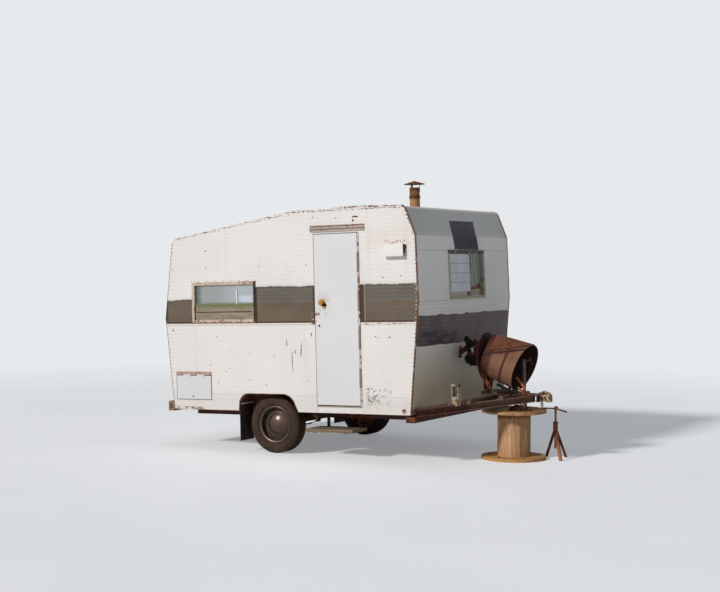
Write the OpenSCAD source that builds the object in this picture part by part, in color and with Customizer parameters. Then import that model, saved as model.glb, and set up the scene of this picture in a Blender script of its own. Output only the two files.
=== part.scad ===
// Ice fishing hut made from an old travel trailer, standing nose up on its
// two wheels with its tow bar propped on a wooden cable reel.
// Every trailer piece is drawn level, with x forward, the door side at -y and
// the ground under the axle at z = 0, and then tips with pitched().

/* [Stance] */
// Nose-up tilt of the body about its axle, in degrees
pitch = 2; // [0:0.1:4]
// Height of the axle centre, which is also the tyre's radius
axle_z = 283; // [250:1:330]
// Where the axle sits along the body, in percent of the body's length
axle_share = 42.55; // [36:0.05:48]

/* [Body shell] */
// Full width of the body over its two side walls
body_w = 2030; // [1800:5:2300]
// Thickness of walls and roof
wall = 40; // [25:1:60]
// Thickness of the floor
floor_t = 55; // [40:1:80]
// Height of the body's lower edge
floor_z = 420; // [380:1:480]
// Length of the body along its lower edge
body_l = 2731; // [2400:1:3000]
// Where the lower edge ends at the rear
tail_bot_x = -1322; // [-1500:1:-1200]
// How far the front's middle knuckle lies ahead of the lower edge
nose_out = 104; // [60:1:140]
// How far the front's upper knuckle lies behind the middle one
nose_back = 14; // [4:1:30]
// How far the front's upper knuckle lies below the roof
nose_drop = 276; // [220:1:320]
// How far the roof's front end lies behind the upper knuckle
roof_back = 107; // [80:1:140]
// Length of the roof's level part, up to the bend where it starts to fall
roof_flat = 1225; // [1000:5:1400]
// How far the roof's rear end lies ahead of the lower edge's end
tail_in = 20; // [0:1:60]
// How far the roof falls towards the rear
tail_drop = 225; // [160:1:280]
// How far the rear knuckle lies behind the lower edge
tail_out = 88; // [50:1:120]
// Height of the rear knuckle
tail_mid_z = 1345; // [1250:1:1450]
// Radius of the two rounded roof corners
roof_round = 70; // [50:1:120]
// Width of the bent edge trims
trim_w = 20; // [12:1:35]
// Thickness of the edge trims
trim_t = 3; // [2:0.5:5]

/* [Door] */
// Distance of the doorway's rear edge from the front end of the lower edge
door_back = 1019; // [960:1:1060]
// Width of the doorway
door_w = 499; // [450:1:560]
// Height of the doorway
door_h = 1663; // [1600:1:1700]
// Height of the wall over the doorway
header_h = 228; // [190:1:300]
// Height of the door knob above the floor
knob_up = 1004; // [900:1:1100]
// Height of the hasp above the floor
lock_up = 894; // [800:1:960]
// Gap around the door and the hatch
door_gap = 6; // [5:0.5:10]
// Thickness of the door leaf
leaf_t = 34; // [20:1:40]
// How far the door stands proud of the wall
leaf_proud = 5; // [2:0.5:8]
// Radius of the door hinge's barrel
hinge_r = 7; // [5:0.5:9]
// Radius of the hinge pins
pin_r = 2.5; // [2:0.1:3]
// Clearance around each pin and spindle
pin_gap = 0.3; // [0.2:0.05:0.5]
// Radius of the door knob
knob_r = 26; // [20:1:32]

/* [Hatch] */
// Distance of the hatch opening from the rear end of the lower edge
hatch_in = 29; // [24:1:60]
// Width of the hatch opening
hatch_w = 443; // [380:1:480]
// Lower edge of the hatch opening
hatch_z0 = 515; // [500:1:560]
// Height of the hatch opening
hatch_h = 250; // [200:1:280]

/* [Windows] */
// Distance of the side window's frame from the rear end of the lower edge
side_win_in = 252; // [200:1:300]
// Width of the side window's frame
side_win_w = 780; // [700:5:820]
// Lower edge of the side window's frame
side_win_z0 = 1294; // [1250:1:1340]
// Height of the side window's frame
side_win_h = 406; // [360:1:440]
// Height of the two boards in the side window
board_h = 78; // [60:1:100]
// Width of the front window's frame
front_win_w = 795; // [700:5:840]
// Height of the front window's frame
front_win_h = 476; // [420:1:500]
// Height of the wall over the front window
front_head = 136; // [110:1:180]
// Middle of the front window, across the body
front_win_y = 32; // [-80:1:80]
// Width of the window frames' bars
frame_w = 30; // [22:1:40]
// How far the window frames stand proud
frame_proud = 8; // [5:1:14]
// Thickness of the panes
glass_t = 5; // [3:1:6]

/* [Roof and side fittings] */
// Distance of the stove pipe from the roof's front end
pipe_back = 392; // [240:1:500]
// Radius of the stove pipe
pipe_r = 51; // [40:1:65]
// Height of the stove pipe above the roof
pipe_h = 225; // [150:1:300]
// Width of the roof vent's base
vent_w = 380; // [340:5:420]
// Length of the vent hood beside the door
hood_w = 209; // [160:1:240]
// Distance of the vent hood's rear end from the front's upper knuckle
hood_back = 313; // [280:1:340]
// Distance of the vent hood's lower edge from the roof
hood_drop = 471; // [420:1:560]

/* [Running gear] */
// Width of the tyres
tyre_w = 165; // [140:5:205]
// Distance of the tyre's outer face from the body's side
tyre_in = 68; // [50:1:120]
// Radius of the wheel rims
rim_r = 178; // [165:1:200]
// Radius of the hubcaps
cap_r = 112; // [90:1:125]
// Radius of the wheel spindles
spindle_r = 20; // [15:1:25]
// Radius of the axle tube
axle_r = 26; // [22:1:32]
// Distance between the two chassis rails' middles
rail_gap = 1300; // [1200:10:1360]
// Width of the chassis rails
rail_w = 45; // [35:1:60]
// Height of the chassis rails
rail_h = 80; // [60:1:100]
// Free length of the leaf springs
spring_l = 640; // [560:10:700]
// Width of the spring leaves
leaf_w = 44; // [38:1:50]
// Thickness of one spring leaf
leaf_plate = 7; // [5:0.5:9]
// Height of the wheel arch above the body's lower edge
arch_h = 166; // [150:1:200]
// Width of the wheel arch at the body's lower edge
arch_w = 695; // [680:5:780]
// Thickness of the mud flaps
flap_t = 8; // [5:1:12]
// Length of the step under the door
step_l = 524; // [440:1:600]
// Height of the step's top above the ground
step_up = 254; // [220:1:300]

/* [Tow bar] */
// How far the coupler's tip reaches ahead of the body
tongue_l = 985; // [900:5:1100]
// Height of the tow bar's channels
arm_h = 66; // [50:1:80]
// Width of the tow bar's channels
arm_w = 46; // [38:1:60]
// Radius of the hitch ball socket
ball_r = 25.7; // [25:0.1:30]
// Where the jack stands, ahead of the body
jack_off = 700; // [640:5:760]
// Radius of the jack's tube
jack_r = 17; // [14:0.5:24]
// Height of the jack above the tow bar
jack_up = 341; // [260:1:380]
// How far the first timber across the tow bar lies ahead of the body
timber_off = 361; // [300:1:400]
// Distance from the first timber to the second
timber_gap = 215; // [160:1:240]
// Width of those timbers
timber_w = 40; // [30:1:50]
// Height of those timbers above the channels
timber_h = 32; // [24:1:45]

/* [Cable reel] */
// Height of the reel
reel_h = 478; // [440:1:520]
// Radius of the reel's two flanges
reel_r = 312; // [280:1:340]
// Thickness of each flange
reel_flange = 30; // [24:1:45]
// Radius over the reel's staves
stave_r = 162; // [140:1:180]
// Thickness of the staves
stave_t = 22; // [18:1:30]
// Number of staves
staves = 12; // [10:1:20]
// Gap between the staves
stave_gap = 3; // [2:0.5:6]

/* [Jack stand] */
// Gap between the reel's edge and the stand's screw
stand_gap = 87; // [60:1:120]
// Height of the collar where the stand's legs meet
stand_h = 329; // [280:1:360]
// Distance of the stand's feet from its screw
stand_foot = 170; // [130:1:200]
// Width of the legs' angle iron
stand_leg = 26; // [20:1:35]
// Radius of the stand's screw
screw_r = 10; // [8:0.5:14]
// Radius of the screw's handle bar
handle_r = 8; // [6:0.5:10]

/* [Drum] */
// Radius of the steel drum at its mouth
drum_r = 235; // [215:1:250]
// How far the drum's side tapers towards its closed end, in degrees
drum_taper = 6; // [2:0.5:9]
// Length of the drum
drum_l = 390; // [360:5:440]
// Radius of the upright plate around the drum's closed end
plate_r = 240; // [225:1:255]
// Thickness of the drum's wall
drum_t = 4; // [3:0.5:6]
// How far the drum's mouth points down, in degrees
drum_dip = 22; // [15:1:28]
// How far the drum's mouth turns to the far side, in degrees
drum_turn = 12.6; // [5:0.1:18]

/* [Hidden] */
$fn = 48;
half_w = body_w / 2;
nose_bot_x = tail_bot_x + body_l;
nose_mid_x = nose_bot_x + nose_out;
nose_top_x = nose_mid_x - nose_back;
roof_front_x = nose_top_x - roof_back;
ridge_x = roof_front_x - roof_flat;
tail_top_x = tail_bot_x + tail_in;
tail_mid_x = tail_bot_x - tail_out;
axle_x = tail_bot_x + body_l * axle_share / 100;
door_x0 = nose_bot_x - door_back;
hatch_x0 = tail_bot_x + hatch_in;
side_win_x0 = tail_bot_x + side_win_in;
pipe_x = roof_front_x - pipe_back;
tip_x = nose_bot_x + tongue_l;
x_mid = (tail_mid_x + tip_x) / 2 + 12;     // moves the origin under the middle
seat = 0.3;                        // gap between pieces that rest on each other
floor_top = floor_z + floor_t;
door_x1 = door_x0 + door_w;
door_z0 = floor_top;
door_z1 = door_z0 + door_h;
roof_z = door_z1 + header_h;
nose_top_z = roof_z - nose_drop;
nose_mid_z = nose_top_z - front_head - front_win_h - 6;
tail_top_z = roof_z - tail_drop;
leaf_y0 = -half_w - leaf_proud;    // the door's outer face
hinge_x = door_x1 + 2;
hinge_y = -half_w - hinge_r - 1;
hatch_x1 = hatch_x0 + hatch_w;
hatch_z1 = hatch_z0 + hatch_h;
hatch_hr = 5;
hatch_hz = hatch_z1 + 4;
hatch_hy = -half_w - hatch_hr - 0.5;
wheel_y = half_w - tyre_in - tyre_w / 2;
rail_y = rail_gap / 2;
web_y = rail_y + rail_w / 2 - 6;    // inner face of the rails' webs
rail_top = floor_z;
rail_bot = floor_z - rail_h;
arch_x0 = axle_x - arch_w / 2 - 12;
arch_x1 = arch_x0 + arch_w;
arch_top = floor_z + arch_h;
well_in = half_w - tyre_in - tyre_w - 45;
well_top = arch_top + 42;
beam_top = floor_z - 20;           // front cross beam under the body
beam_h = 55;
arm_x0 = nose_bot_x + 30;
arm_y0 = half_w - 62;
arm_x1 = nose_bot_x + tongue_l - 175;
arm_y1 = 36;
arm_z0 = beam_top + arm_h / 2 + seat;
arm_z1 = arm_z0 + 78;
arm_top = arm_z1 + arm_h / 2;      // top of the tow bar at the coupler
body_x0 = arm_x1 + arm_w / 2 + 2;  // rear of the coupler's body
nose_r = 38;
jack_x = nose_bot_x + jack_off;
mouth = [jack_x + 6, 0, arm_top + drum_r + 20.7];
drum_n = [cos(drum_dip) * cos(drum_turn), cos(drum_dip) * sin(drum_turn),
    -sin(drum_dip)];
hoop = 6;
drum_end = mouth - drum_n * drum_l;
plate_x = drum_end[0] - 12;         // middle of the upright plate
plate_t = 14;
arm_end = plate_x - plate_t / 2;
pipe_y = -66;
pipe_top = roof_z + pipe_h;
knob_x = door_x0 + 89;
knob_z = door_z0 + knob_up;
lock_z = door_z0 + lock_up;
hood_x = nose_top_x - hood_back;
hood_z = roof_z - hood_drop;
step_z = step_up - 14;
step_x0 = arch_x1 + 43;

function unit(v) = v / norm(v);
function wrap(pts, i) = pts[(i + len(pts)) % len(pts)];
// the corner q between p and s, replaced by an arc of n chords
function arc_corner(p, q, s, r, n) =
    let (a = unit(p - q), b = unit(s - q), h = acos(a * b) / 2,
         c = q + unit(a + b) * r / sin(h), u = unit(q + a * r / tan(h) - c),
         turn = 180 - 2 * h)
    [for (k = [0:n]) let (t = turn * k / n)
        c + r * [u[0] * cos(t) - u[1] * sin(t), u[0] * sin(t) + u[1] * cos(t)]];
// a closed outline, each point moved inwards by d along both of its edges
function inset_pts(pts, d) = [for (i = [0:len(pts) - 1])
    let (p = wrap(pts, i - 1), q = pts[i], s = wrap(pts, i + 1),
         e = unit(q - p), f = unit(s - q),
         m = [-e[1], e[0]], n = [-f[1], f[0]])
    q + (m + n) * d / (1 + m * n)];

nose_top = [nose_top_x, nose_top_z];
roof_front_pt = [roof_front_x, roof_z];
ridge_pt = [ridge_x, roof_z];
tail_top = [tail_top_x, tail_top_z];
tail_mid = [tail_mid_x, tail_mid_z];
// counter-clockwise: lower edge, front, roof, rear
outline = concat(
    [[tail_bot_x, floor_z], [nose_bot_x, floor_z], [nose_mid_x, nose_mid_z]],
    [nose_top],
    arc_corner(nose_top, roof_front_pt, ridge_pt, roof_round, 4),
    [ridge_pt],
    arc_corner(ridge_pt, tail_top, tail_mid, roof_round, 4),
    [tail_mid]);
inner = inset_pts(outline, wall);
i_ridge = 9;
i_tail = 14;

module pitched() {
    translate([axle_x - x_mid, 0, axle_z]) rotate([0, -pitch, 0])
        translate([-axle_x, 0, -axle_z]) children();
}
module box(p, q) { translate(p) cube(q - p); }
// a profile in x and z, run across the body from y0 to y1
module across(y0, y1) {
    translate([0, y1, 0]) rotate([90, 0, 0]) linear_extrude(y1 - y0) children();
}
module lying(r, l) { rotate([90, 0, 0]) cylinder(r = r, h = l, center = true); }
module panel(i0, i1) {
    across(-half_w + wall, half_w - wall)
        polygon(concat([for (i = [i0:i1]) outline[i]],
            [for (i = [i1:-1:i0]) inner[i]]));
}
module profile_slab(y0, y1) { across(y0, y1) polygon(outline); }

// the side window's own opening, frame and pane: outside towards -y
module win_hole(w, h) {
    translate([frame_w / 2, -10, frame_w / 2])
        cube([w - frame_w, wall + 20, h - frame_w]);
}
module win_frame(w, h) {
    difference() {
        union() {
            translate([0, -frame_proud, 0]) cube([w, frame_proud, h]);
            translate([frame_w / 2, 0, frame_w / 2])
                cube([w - frame_w, wall, h - frame_w]);
        }
        translate([frame_w, -frame_proud - 1, frame_w])
            cube([w - 2 * frame_w, wall + frame_proud + 2, h - 2 * frame_w]);
    }
}
module at_side() { translate([side_win_x0, -half_w, side_win_z0]) children(); }
module at_far() {
    translate([side_win_x0 + side_win_w, half_w, side_win_z0])
        rotate([0, 0, 180]) children();
}
front_lean = atan((nose_mid_x - nose_top_x) / (nose_top_z - nose_mid_z));
module at_front() {
    translate([nose_mid_x, front_win_y - front_win_w / 2, nose_mid_z])
        rotate([0, -front_lean, 0]) translate([0, 0, 6]) rotate([0, 0, 90])
            children();
}
module arch_cut(y0, y1) {
    a = [arch_x0, floor_z - 20];
    b = [arch_x1, floor_z - 20];
    c = [arch_x1 - 85, arch_top];
    d = [arch_x0 + 12, arch_top];
    across(y0, y1) polygon(concat([a, b], arc_corner(b, c, d, 140, 8),
        arc_corner(c, d, a, 110, 8)));
}

module near_wall(x0, x1, z0, z1) {
    difference() {
        intersection() {
            profile_slab(-half_w, -half_w + wall);
            box([x0, -half_w - 1, z0], [x1, -half_w + wall + 1, z1]);
        }
        at_side() win_hole(side_win_w, side_win_h);
        box([hatch_x0, -half_w - 1, hatch_z0], [hatch_x1, -half_w + wall + 1, hatch_z1]);
        arch_cut(-half_w - 1, -half_w + wall + 1);
    }
}
module side_wall_rear() {
    color([0.93, 0.92, 0.9]) pitched() near_wall(tail_mid_x - 1, door_x0, 0, roof_z + 1);
}
module side_wall_front() {
    color([0.93, 0.92, 0.9]) pitched() near_wall(door_x1, nose_mid_x + 1, 0, roof_z + 1);
}
module side_wall_header() {
    color([0.93, 0.92, 0.9]) pitched() near_wall(door_x0, door_x1, door_z1, roof_z + 1);
}
module door_sill() {
    color([0.75, 0.73, 0.7]) pitched() near_wall(door_x0, door_x1, 0, door_z0);
}
module far_side_wall() {
    color([0.93, 0.92, 0.9]) pitched() difference() {
        profile_slab(half_w - wall, half_w);
        at_far() win_hole(side_win_w, side_win_h);
        arch_cut(half_w - wall - 1, half_w + 1);
    }
}
module front_wall_lower() {
    color([0.93, 0.92, 0.9]) pitched() panel(1, 2);
}
module front_wall_upper() {
    color([0.93, 0.92, 0.9]) pitched() difference() {
        panel(2, 3);
        at_front() win_hole(front_win_w, front_win_h);
    }
}
module roof_front() { color([0.9, 0.9, 0.9]) pitched() roof_cut() panel(3, i_ridge); }
module roof_rear() { color([0.9, 0.9, 0.9]) pitched() panel(i_ridge, i_tail); }
module rear_wall_upper() {
    color([0.93, 0.92, 0.9]) pitched() panel(i_tail, i_tail + 1);
}
module rear_wall_lower() {
    color([0.93, 0.92, 0.9]) pitched() across(-half_w + wall, half_w - wall)
        polygon([outline[i_tail + 1], outline[0], inner[0], inner[i_tail + 1]]);
}
// the stove pipe goes through the roof
module roof_cut() {
    difference() {
        children();
        translate([pipe_x, pipe_y, roof_z - 2 * wall]) cylinder(r = pipe_r, h = 4 * wall);
    }
}

function at_z(p, q, z) = p[0] + (q[0] - p[0]) * (z - p[1]) / (q[1] - p[1]);
module floor_panel() {
    e = [seat, 0];
    color([0.5, 0.42, 0.33]) pitched() difference() {
        across(-half_w + wall, half_w - wall)
            polygon([outline[0] + e, outline[1] - e, inner[1] - e,
                [at_z(inner[1], inner[2], floor_top), floor_top] - e,
                [at_z(inner[0], inner[i_tail + 1], floor_top), floor_top] + e, inner[0] + e]);
        for (s = [-1, 1])
            box([arch_x0 - 10, min(s * well_in, s * half_w), 0],
                [arch_x1 + 10, max(s * well_in, s * half_w), well_top]);
    }
}

// bent strips that close the side edges of the skin
trim_out = inset_pts(outline, -trim_t);
trim_in = inset_pts(outline, trim_w);
module edge_trim(s) {
    y0 = s * half_w;
    y1 = s * (half_w + trim_t);
    y2 = s * (half_w - trim_w);
    difference() {
        across(min(y1, y2), max(y1, y2)) polygon(trim_out);
        across(min(y0, y2 - s), max(y0, y2 - s)) polygon(outline);
        across(min(y1, y2) - 1, max(y1, y2) + 1) polygon(trim_in);
        box([door_x0, min(y1, y2) - 1, 0], [door_x1, max(y1, y2) + 1, floor_z + 50]);
        arch_cut(min(y1, y2) - 1, max(y1, y2) + 1);
    }
}
module edge_trims() {
    color([0.55, 0.42, 0.33]) pitched() for (s = [-1, 1]) edge_trim(s);
}
module drip_rail() {
    color([0.7, 0.67, 0.62]) pitched() difference() {
        box([door_x0 - 30, -half_w - 22, door_z1 + 20], [door_x1 + 74, -half_w, door_z1 + 78]);
        for (z = [24, 52])
            box([door_x0 - 40, -half_w - 30, door_z1 + z + 5],
                [door_x1 + 84, -half_w - 8, door_z1 + z + 20]);
    }
}

// knuckles along a hinge line, every second one left out; p0 and p1 are lengths
module knuckles(l, n, r, first) {
    k = l / n;
    for (i = [first:2:n - 1])
        translate([0, 0, i * k + 1]) cylinder(r = r, h = k - 2);
}
module door_leaf() {
    color([0.89, 0.89, 0.88]) pitched() {
        box([door_x0 + door_gap, leaf_y0, door_z0 + door_gap],
            [door_x1 - door_gap, leaf_y0 + leaf_t, door_z1 - door_gap]);
        difference() {
            union() {
                translate([hinge_x, hinge_y, door_z0 + 10])
                    knuckles(door_h - 20, 9, hinge_r, 1);
                for (i = [1:2:8])
                    box([door_x1 - 30, hinge_y - hinge_r + 2,
                        door_z0 + 11 + i * (door_h - 20) / 9],
                        [hinge_x, leaf_y0, door_z0 + 9 + (i + 1) * (door_h - 20) / 9]);
            }
            translate([hinge_x, hinge_y, door_z0]) cylinder(r = pin_r + pin_gap, h = door_h);
        }
    }
}
module door_hinge() {
    color([0.45, 0.36, 0.3]) pitched() {
        translate([hinge_x, hinge_y, door_z0 + 10]) {
            knuckles(door_h - 20, 9, hinge_r, 0);
            cylinder(r = pin_r, h = door_h - 20);
        }
        for (i = [0:2:8])
            box([hinge_x, -half_w - 2, door_z0 + 11 + i * (door_h - 20) / 9],
                [door_x1 + 34, -half_w, door_z0 + 9 + (i + 1) * (door_h - 20) / 9]);
    }
}
module door_knob() {
    color([0.72, 0.58, 0.32]) pitched() {
        translate([knob_x, leaf_y0, knob_z]) rotate([90, 0, 0]) rotate_extrude()
            polygon([[0, 0], [32, 0], [32, 4], [12, 8], [11, 18], [knob_r - 4, 22],
                [knob_r, 30], [knob_r - 3, 40], [knob_r - 12, 46], [0, 47]]);
        translate([knob_x + 21, leaf_y0, knob_z - 48]) rotate([90, 0, 0])
            cylinder(r = 13, h = 12);
    }
}
module door_latch() {
    color([0.5, 0.42, 0.35]) pitched()
        box([door_x0 + door_gap, leaf_y0 - 4, lock_z - 12], [door_x0 + 56, leaf_y0, lock_z + 12]);
}
module door_staple() {
    color([0.42, 0.26, 0.17]) pitched() translate([door_x0 - 17, -half_w, lock_z]) {
        box([-16, -4, -19], [12, 0, 19]);
        translate([0, -4, -7]) rotate([0, 0, -90]) rotate([90, 0, 0])
            rotate([0, 0, -90]) rotate_extrude(angle = 180) translate([11, 0]) circle(r = 3, $fn = 20);
        // the padlock that hangs in the staple
        translate([0, -14, -33]) rotate([90, 0, 0])
            rotate_extrude() translate([14, 0]) circle(r = 3.5, $fn = 20);
        box([-17, -24, -91], [15, -4, -45]);
    }
}
module hatch_door() {
    color([0.9, 0.89, 0.87]) pitched() {
        difference() {
            box([hatch_x0 + door_gap, -half_w - 3, hatch_z0 + door_gap],
                [hatch_x1 - door_gap, -half_w + 17, hatch_z1 - door_gap]);
            translate([hatch_x1 - 234, -half_w - 10, hatch_z0 + 35]) rotate([90, 0, 0])
                translate([0, 0, -8]) cylinder(r = 8, h = 30);
        }
        difference() {
            translate([hatch_x0 + 8, hatch_hy, hatch_hz]) rotate([0, 90, 0])
                knuckles(hatch_w - 16, 5, hatch_hr, 1);
            translate([hatch_x0, hatch_hy, hatch_hz]) rotate([0, 90, 0])
                cylinder(r = 2 + pin_gap, h = hatch_w);
        }
        for (i = [1, 3])
            box([hatch_x0 + 9 + i * (hatch_w - 16) / 5, hatch_hy - 2.5, hatch_z1 - 30],
                [hatch_x0 + 7 + (i + 1) * (hatch_w - 16) / 5, -half_w - 3, hatch_hz - 4.6]);
    }
}
module hatch_hinge() {
    color([0.5, 0.4, 0.32]) pitched() {
        translate([hatch_x0 + 8, hatch_hy, hatch_hz]) rotate([0, 90, 0]) {
            knuckles(hatch_w - 16, 5, hatch_hr, 0);
            cylinder(r = 2, h = hatch_w - 16);
        }
        for (i = [0:2:4])
            box([hatch_x0 + 9 + i * (hatch_w - 16) / 5, -half_w - 3, hatch_hz],
                [hatch_x0 + 7 + (i + 1) * (hatch_w - 16) / 5, -half_w, hatch_hz + 24]);
        box([hatch_x0, -half_w - 3, hatch_hz + 8], [hatch_x1, -half_w, hatch_hz + 44]);
    }
}

module pane(w, h, z0, z1, y) {
    translate([frame_w, y, z0]) cube([w - 2 * frame_w, glass_t, z1 - z0]);
}
module side_window_frames() {
    color([0.72, 0.69, 0.62]) pitched() {
        at_side() win_frame(side_win_w, side_win_h);
        at_far() win_frame(side_win_w, side_win_h);
    }
}
board_top = frame_w + 2 * board_h;
// three panes; the side one ends behind the boards that close its lower half
module window_panes() {
    color([0.6, 0.66, 0.64]) pitched() {
        at_side() pane(side_win_w, side_win_h, board_top, side_win_h - frame_w, 14);
        at_far() pane(side_win_w, side_win_h, frame_w, side_win_h - frame_w, 14);
        at_front() pane(front_win_w, front_win_h, frame_w, front_win_h - frame_w, 22);
    }
}
module side_window_boards() {
    color([0.55, 0.47, 0.36]) pitched() at_side() for (k = [0, 1])
        translate([frame_w + 7, 2 + 3 * k, frame_w + k * board_h])
            cube([side_win_w - 2 * frame_w - 14, 18, board_h]);
}
mullion = 0.6;
module front_window_frame() {
    color([0.4, 0.37, 0.34]) pitched() at_front() {
        win_frame(front_win_w, front_win_h);
        translate([front_win_w * mullion - 8, 2, frame_w])
            cube([16, 20, front_win_h - 2 * frame_w]);
    }
}
module front_window_blind() {
    color([0.8, 0.81, 0.82]) pitched() at_front() for (k = [0:3])
        translate([frame_w, 5, frame_w + 42 + k * 92])
            cube([front_win_w * mullion - 8 - frame_w, 12, 88]);
}

module vent_hood() {
    color([0.85, 0.84, 0.82]) pitched() translate([hood_x, -half_w, hood_z]) difference() {
        rotate([90, 0, 90]) linear_extrude(hood_w)
            polygon([[0, 0], [-52, 0], [-52, 26], [-42, 92], [-34, 112], [0, 115]]);
        translate([4, -48, -1]) cube([hood_w - 8, 45, 24]);
        for (k = [0:5])
            translate([18 + k * (hood_w - 29) / 6, -60, 34]) rotate([-10, 0, 0]) cube([20, 9, 40]);
    }
}
module roof_vent() {
    color([0.88, 0.88, 0.87]) pitched() translate([ridge_x + 90, 0, roof_z]) {
        w = vent_w / 2;
        translate([-w, -w, 0]) cube([2 * w, 2 * w, 18]);
        translate([12 - w, 12 - w, 18]) cube([2 * w - 24, 2 * w - 24, 30]);
        rotate([0, 0, 45]) translate([0, 0, 48])
            cylinder(r1 = w * sqrt(2) - 7, r2 = w * sqrt(2) - 33, h = 22, $fn = 4);
    }
}
module stove_pipe() {
    color([0.5, 0.33, 0.22]) pitched() translate([pipe_x, pipe_y, 0]) {
        difference() {
            union() {
                translate([0, 0, roof_z - 90]) cylinder(r = pipe_r, h = pipe_top - roof_z + 90);
                translate([0, 0, roof_z + 118]) cylinder(r = pipe_r + 4, h = 26);
            }
            translate([0, 0, roof_z - 91]) cylinder(r = pipe_r - 3, h = pipe_h + 92);
        }
        difference() {
            translate([0, 0, roof_z]) cylinder(r = 110, h = 4);
            translate([0, 0, roof_z - 1]) cylinder(r = pipe_r, h = 8);
        }
    }
}
module pipe_cap() {
    color([0.45, 0.3, 0.2]) pitched() translate([pipe_x, pipe_y, pipe_top]) {
        translate([0, 0, 32]) rotate_extrude()
            polygon([[0, 36], [106, 4], [106, 0], [96, 0], [0, 30]]);
        for (a = [30, 150, 270]) rotate([0, 0, a])
            translate([pipe_r - 3, -8, -40]) difference() {
                cube([6, 16, 90]);
                translate([-1, -1, -1]) cube([4, 18, 41]);
            }
    }
}

module wheel_wells() {
    t = 5;
    color([0.4, 0.3, 0.24]) pitched() for (s = [-1, 1]) {
        ya = s * well_in;
        yb = s * (half_w - wall);
        difference() {
            box([arch_x0 - 10, min(ya, yb), floor_z], [arch_x1 + 10, max(ya, yb), well_top]);
            box([arch_x0 - 10 + t, min(ya + s * t, yb + s), floor_z - 1],
                [arch_x1 + 10 - t, max(ya + s * t, yb + s), well_top - t]);
        }
    }
}
module chassis_rails() {
    color([0.33, 0.2, 0.16]) pitched() {
        for (s = [-1, 1]) difference() {
            box([tail_bot_x + 30, s * rail_y - rail_w / 2, rail_bot],
                [nose_bot_x - 64 - seat, s * rail_y + rail_w / 2, rail_top]);
            box([tail_bot_x, min(s * web_y, s * (rail_y - 60)), rail_bot + 6],
                [nose_bot_x, max(s * web_y, s * (rail_y - 60)), rail_top - 6]);
        }
        for (x = [tail_bot_x + 30, -700, 420, 1000])
            box([x, -web_y + 0.3, rail_bot + 6.3], [x + 40, web_y - 0.3, rail_bot + 56]);
        box([nose_bot_x - 64, -arm_y0 - 42, beam_top - beam_h],
            [nose_bot_x + 30, arm_y0 + 42, beam_top]);
    }
}
module axle() {
    color([0.3, 0.22, 0.18]) pitched() translate([axle_x, 0, axle_z]) {
        lying(axle_r, 2 * (wheel_y - 60));
        lying(spindle_r, 2 * (wheel_y + 42));
    }
}
// a leaf pack under the axle: the longest leaf on top, its eyes hung from the rails
camber = 46;
spring_top = axle_z - axle_r - 0.3;
spring_r = (spring_l * spring_l / 4 + camber * camber) / (2 * camber);
spring_a = asin(spring_l / 2 / spring_r);
eye_z = spring_top + spring_r * (1 - cos(spring_a)) + 5;
ubolt_r = 5;
// leaf k is cut to the chords of the leaf above it
module leaf(k) {
    r0 = spring_r + leaf_plate * k;
    n = 12 - 3 * k;
    across(-leaf_w / 2, leaf_w / 2) polygon(concat(
        [for (i = [-n:n]) r0 * [sin(spring_a * i / 12), -cos(spring_a * i / 12)]],
        [for (i = [n:-1:-n]) (r0 + leaf_plate)
            * [sin(spring_a * i / 12), -cos(spring_a * i / 12)]]));
}
// a U-bolt over the axle, its legs threaded below the clamp plate at z0
module ubolt(half, z0) {
    translate([0, 0, axle_z]) rotate([90, 0, 0]) rotate_extrude(angle = 180)
        translate([half, 0]) circle(r = ubolt_r, $fn = 24);
    for (x = [-half, half]) {
        translate([x, 0, z0 - 18]) cylinder(r = ubolt_r + 0.4, h = axle_z + 2 - z0 + 18);
        translate([x, 0, z0 - 9]) cylinder(r = 2 * ubolt_r, h = 9.5, $fn = 6);
    }
}
module leaf_springs() {
    under = spring_top - 3 * leaf_plate;
    half = axle_r + ubolt_r + 0.7;
    hang = max(leaf_w, rail_w) / 2 + 0.3;
    color([0.3, 0.2, 0.16]) pitched() for (s = [-1, 1]) translate([axle_x, s * rail_y, 0]) {
        translate([0, 0, spring_top + spring_r]) for (k = [0:2]) leaf(k);
        // eyes, their pins and the hanger plates on both sides of the rail
        for (x = [-1, 1]) translate([x * (spring_l / 2 + 7), 0, eye_z]) {
            lying(15, leaf_w);
            lying(8, 2 * hang + 22);
            for (y = [-1, 1]) translate([-14, y * (hang + 3) - 3, -14])
                cube([28, 6, rail_bot + 40 - eye_z + 14]);
        }
        // clamp plate under the pack, drawn up by two U-bolts
        translate([-half - 14, -leaf_w / 2 - 18, under - 7])
            cube([2 * half + 28, leaf_w + 36, 9]);
        for (y = [-1, 1]) translate([0, y * (leaf_w / 2 + ubolt_r + 2), 0])
            ubolt(half, under - 7);
    }
}

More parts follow.
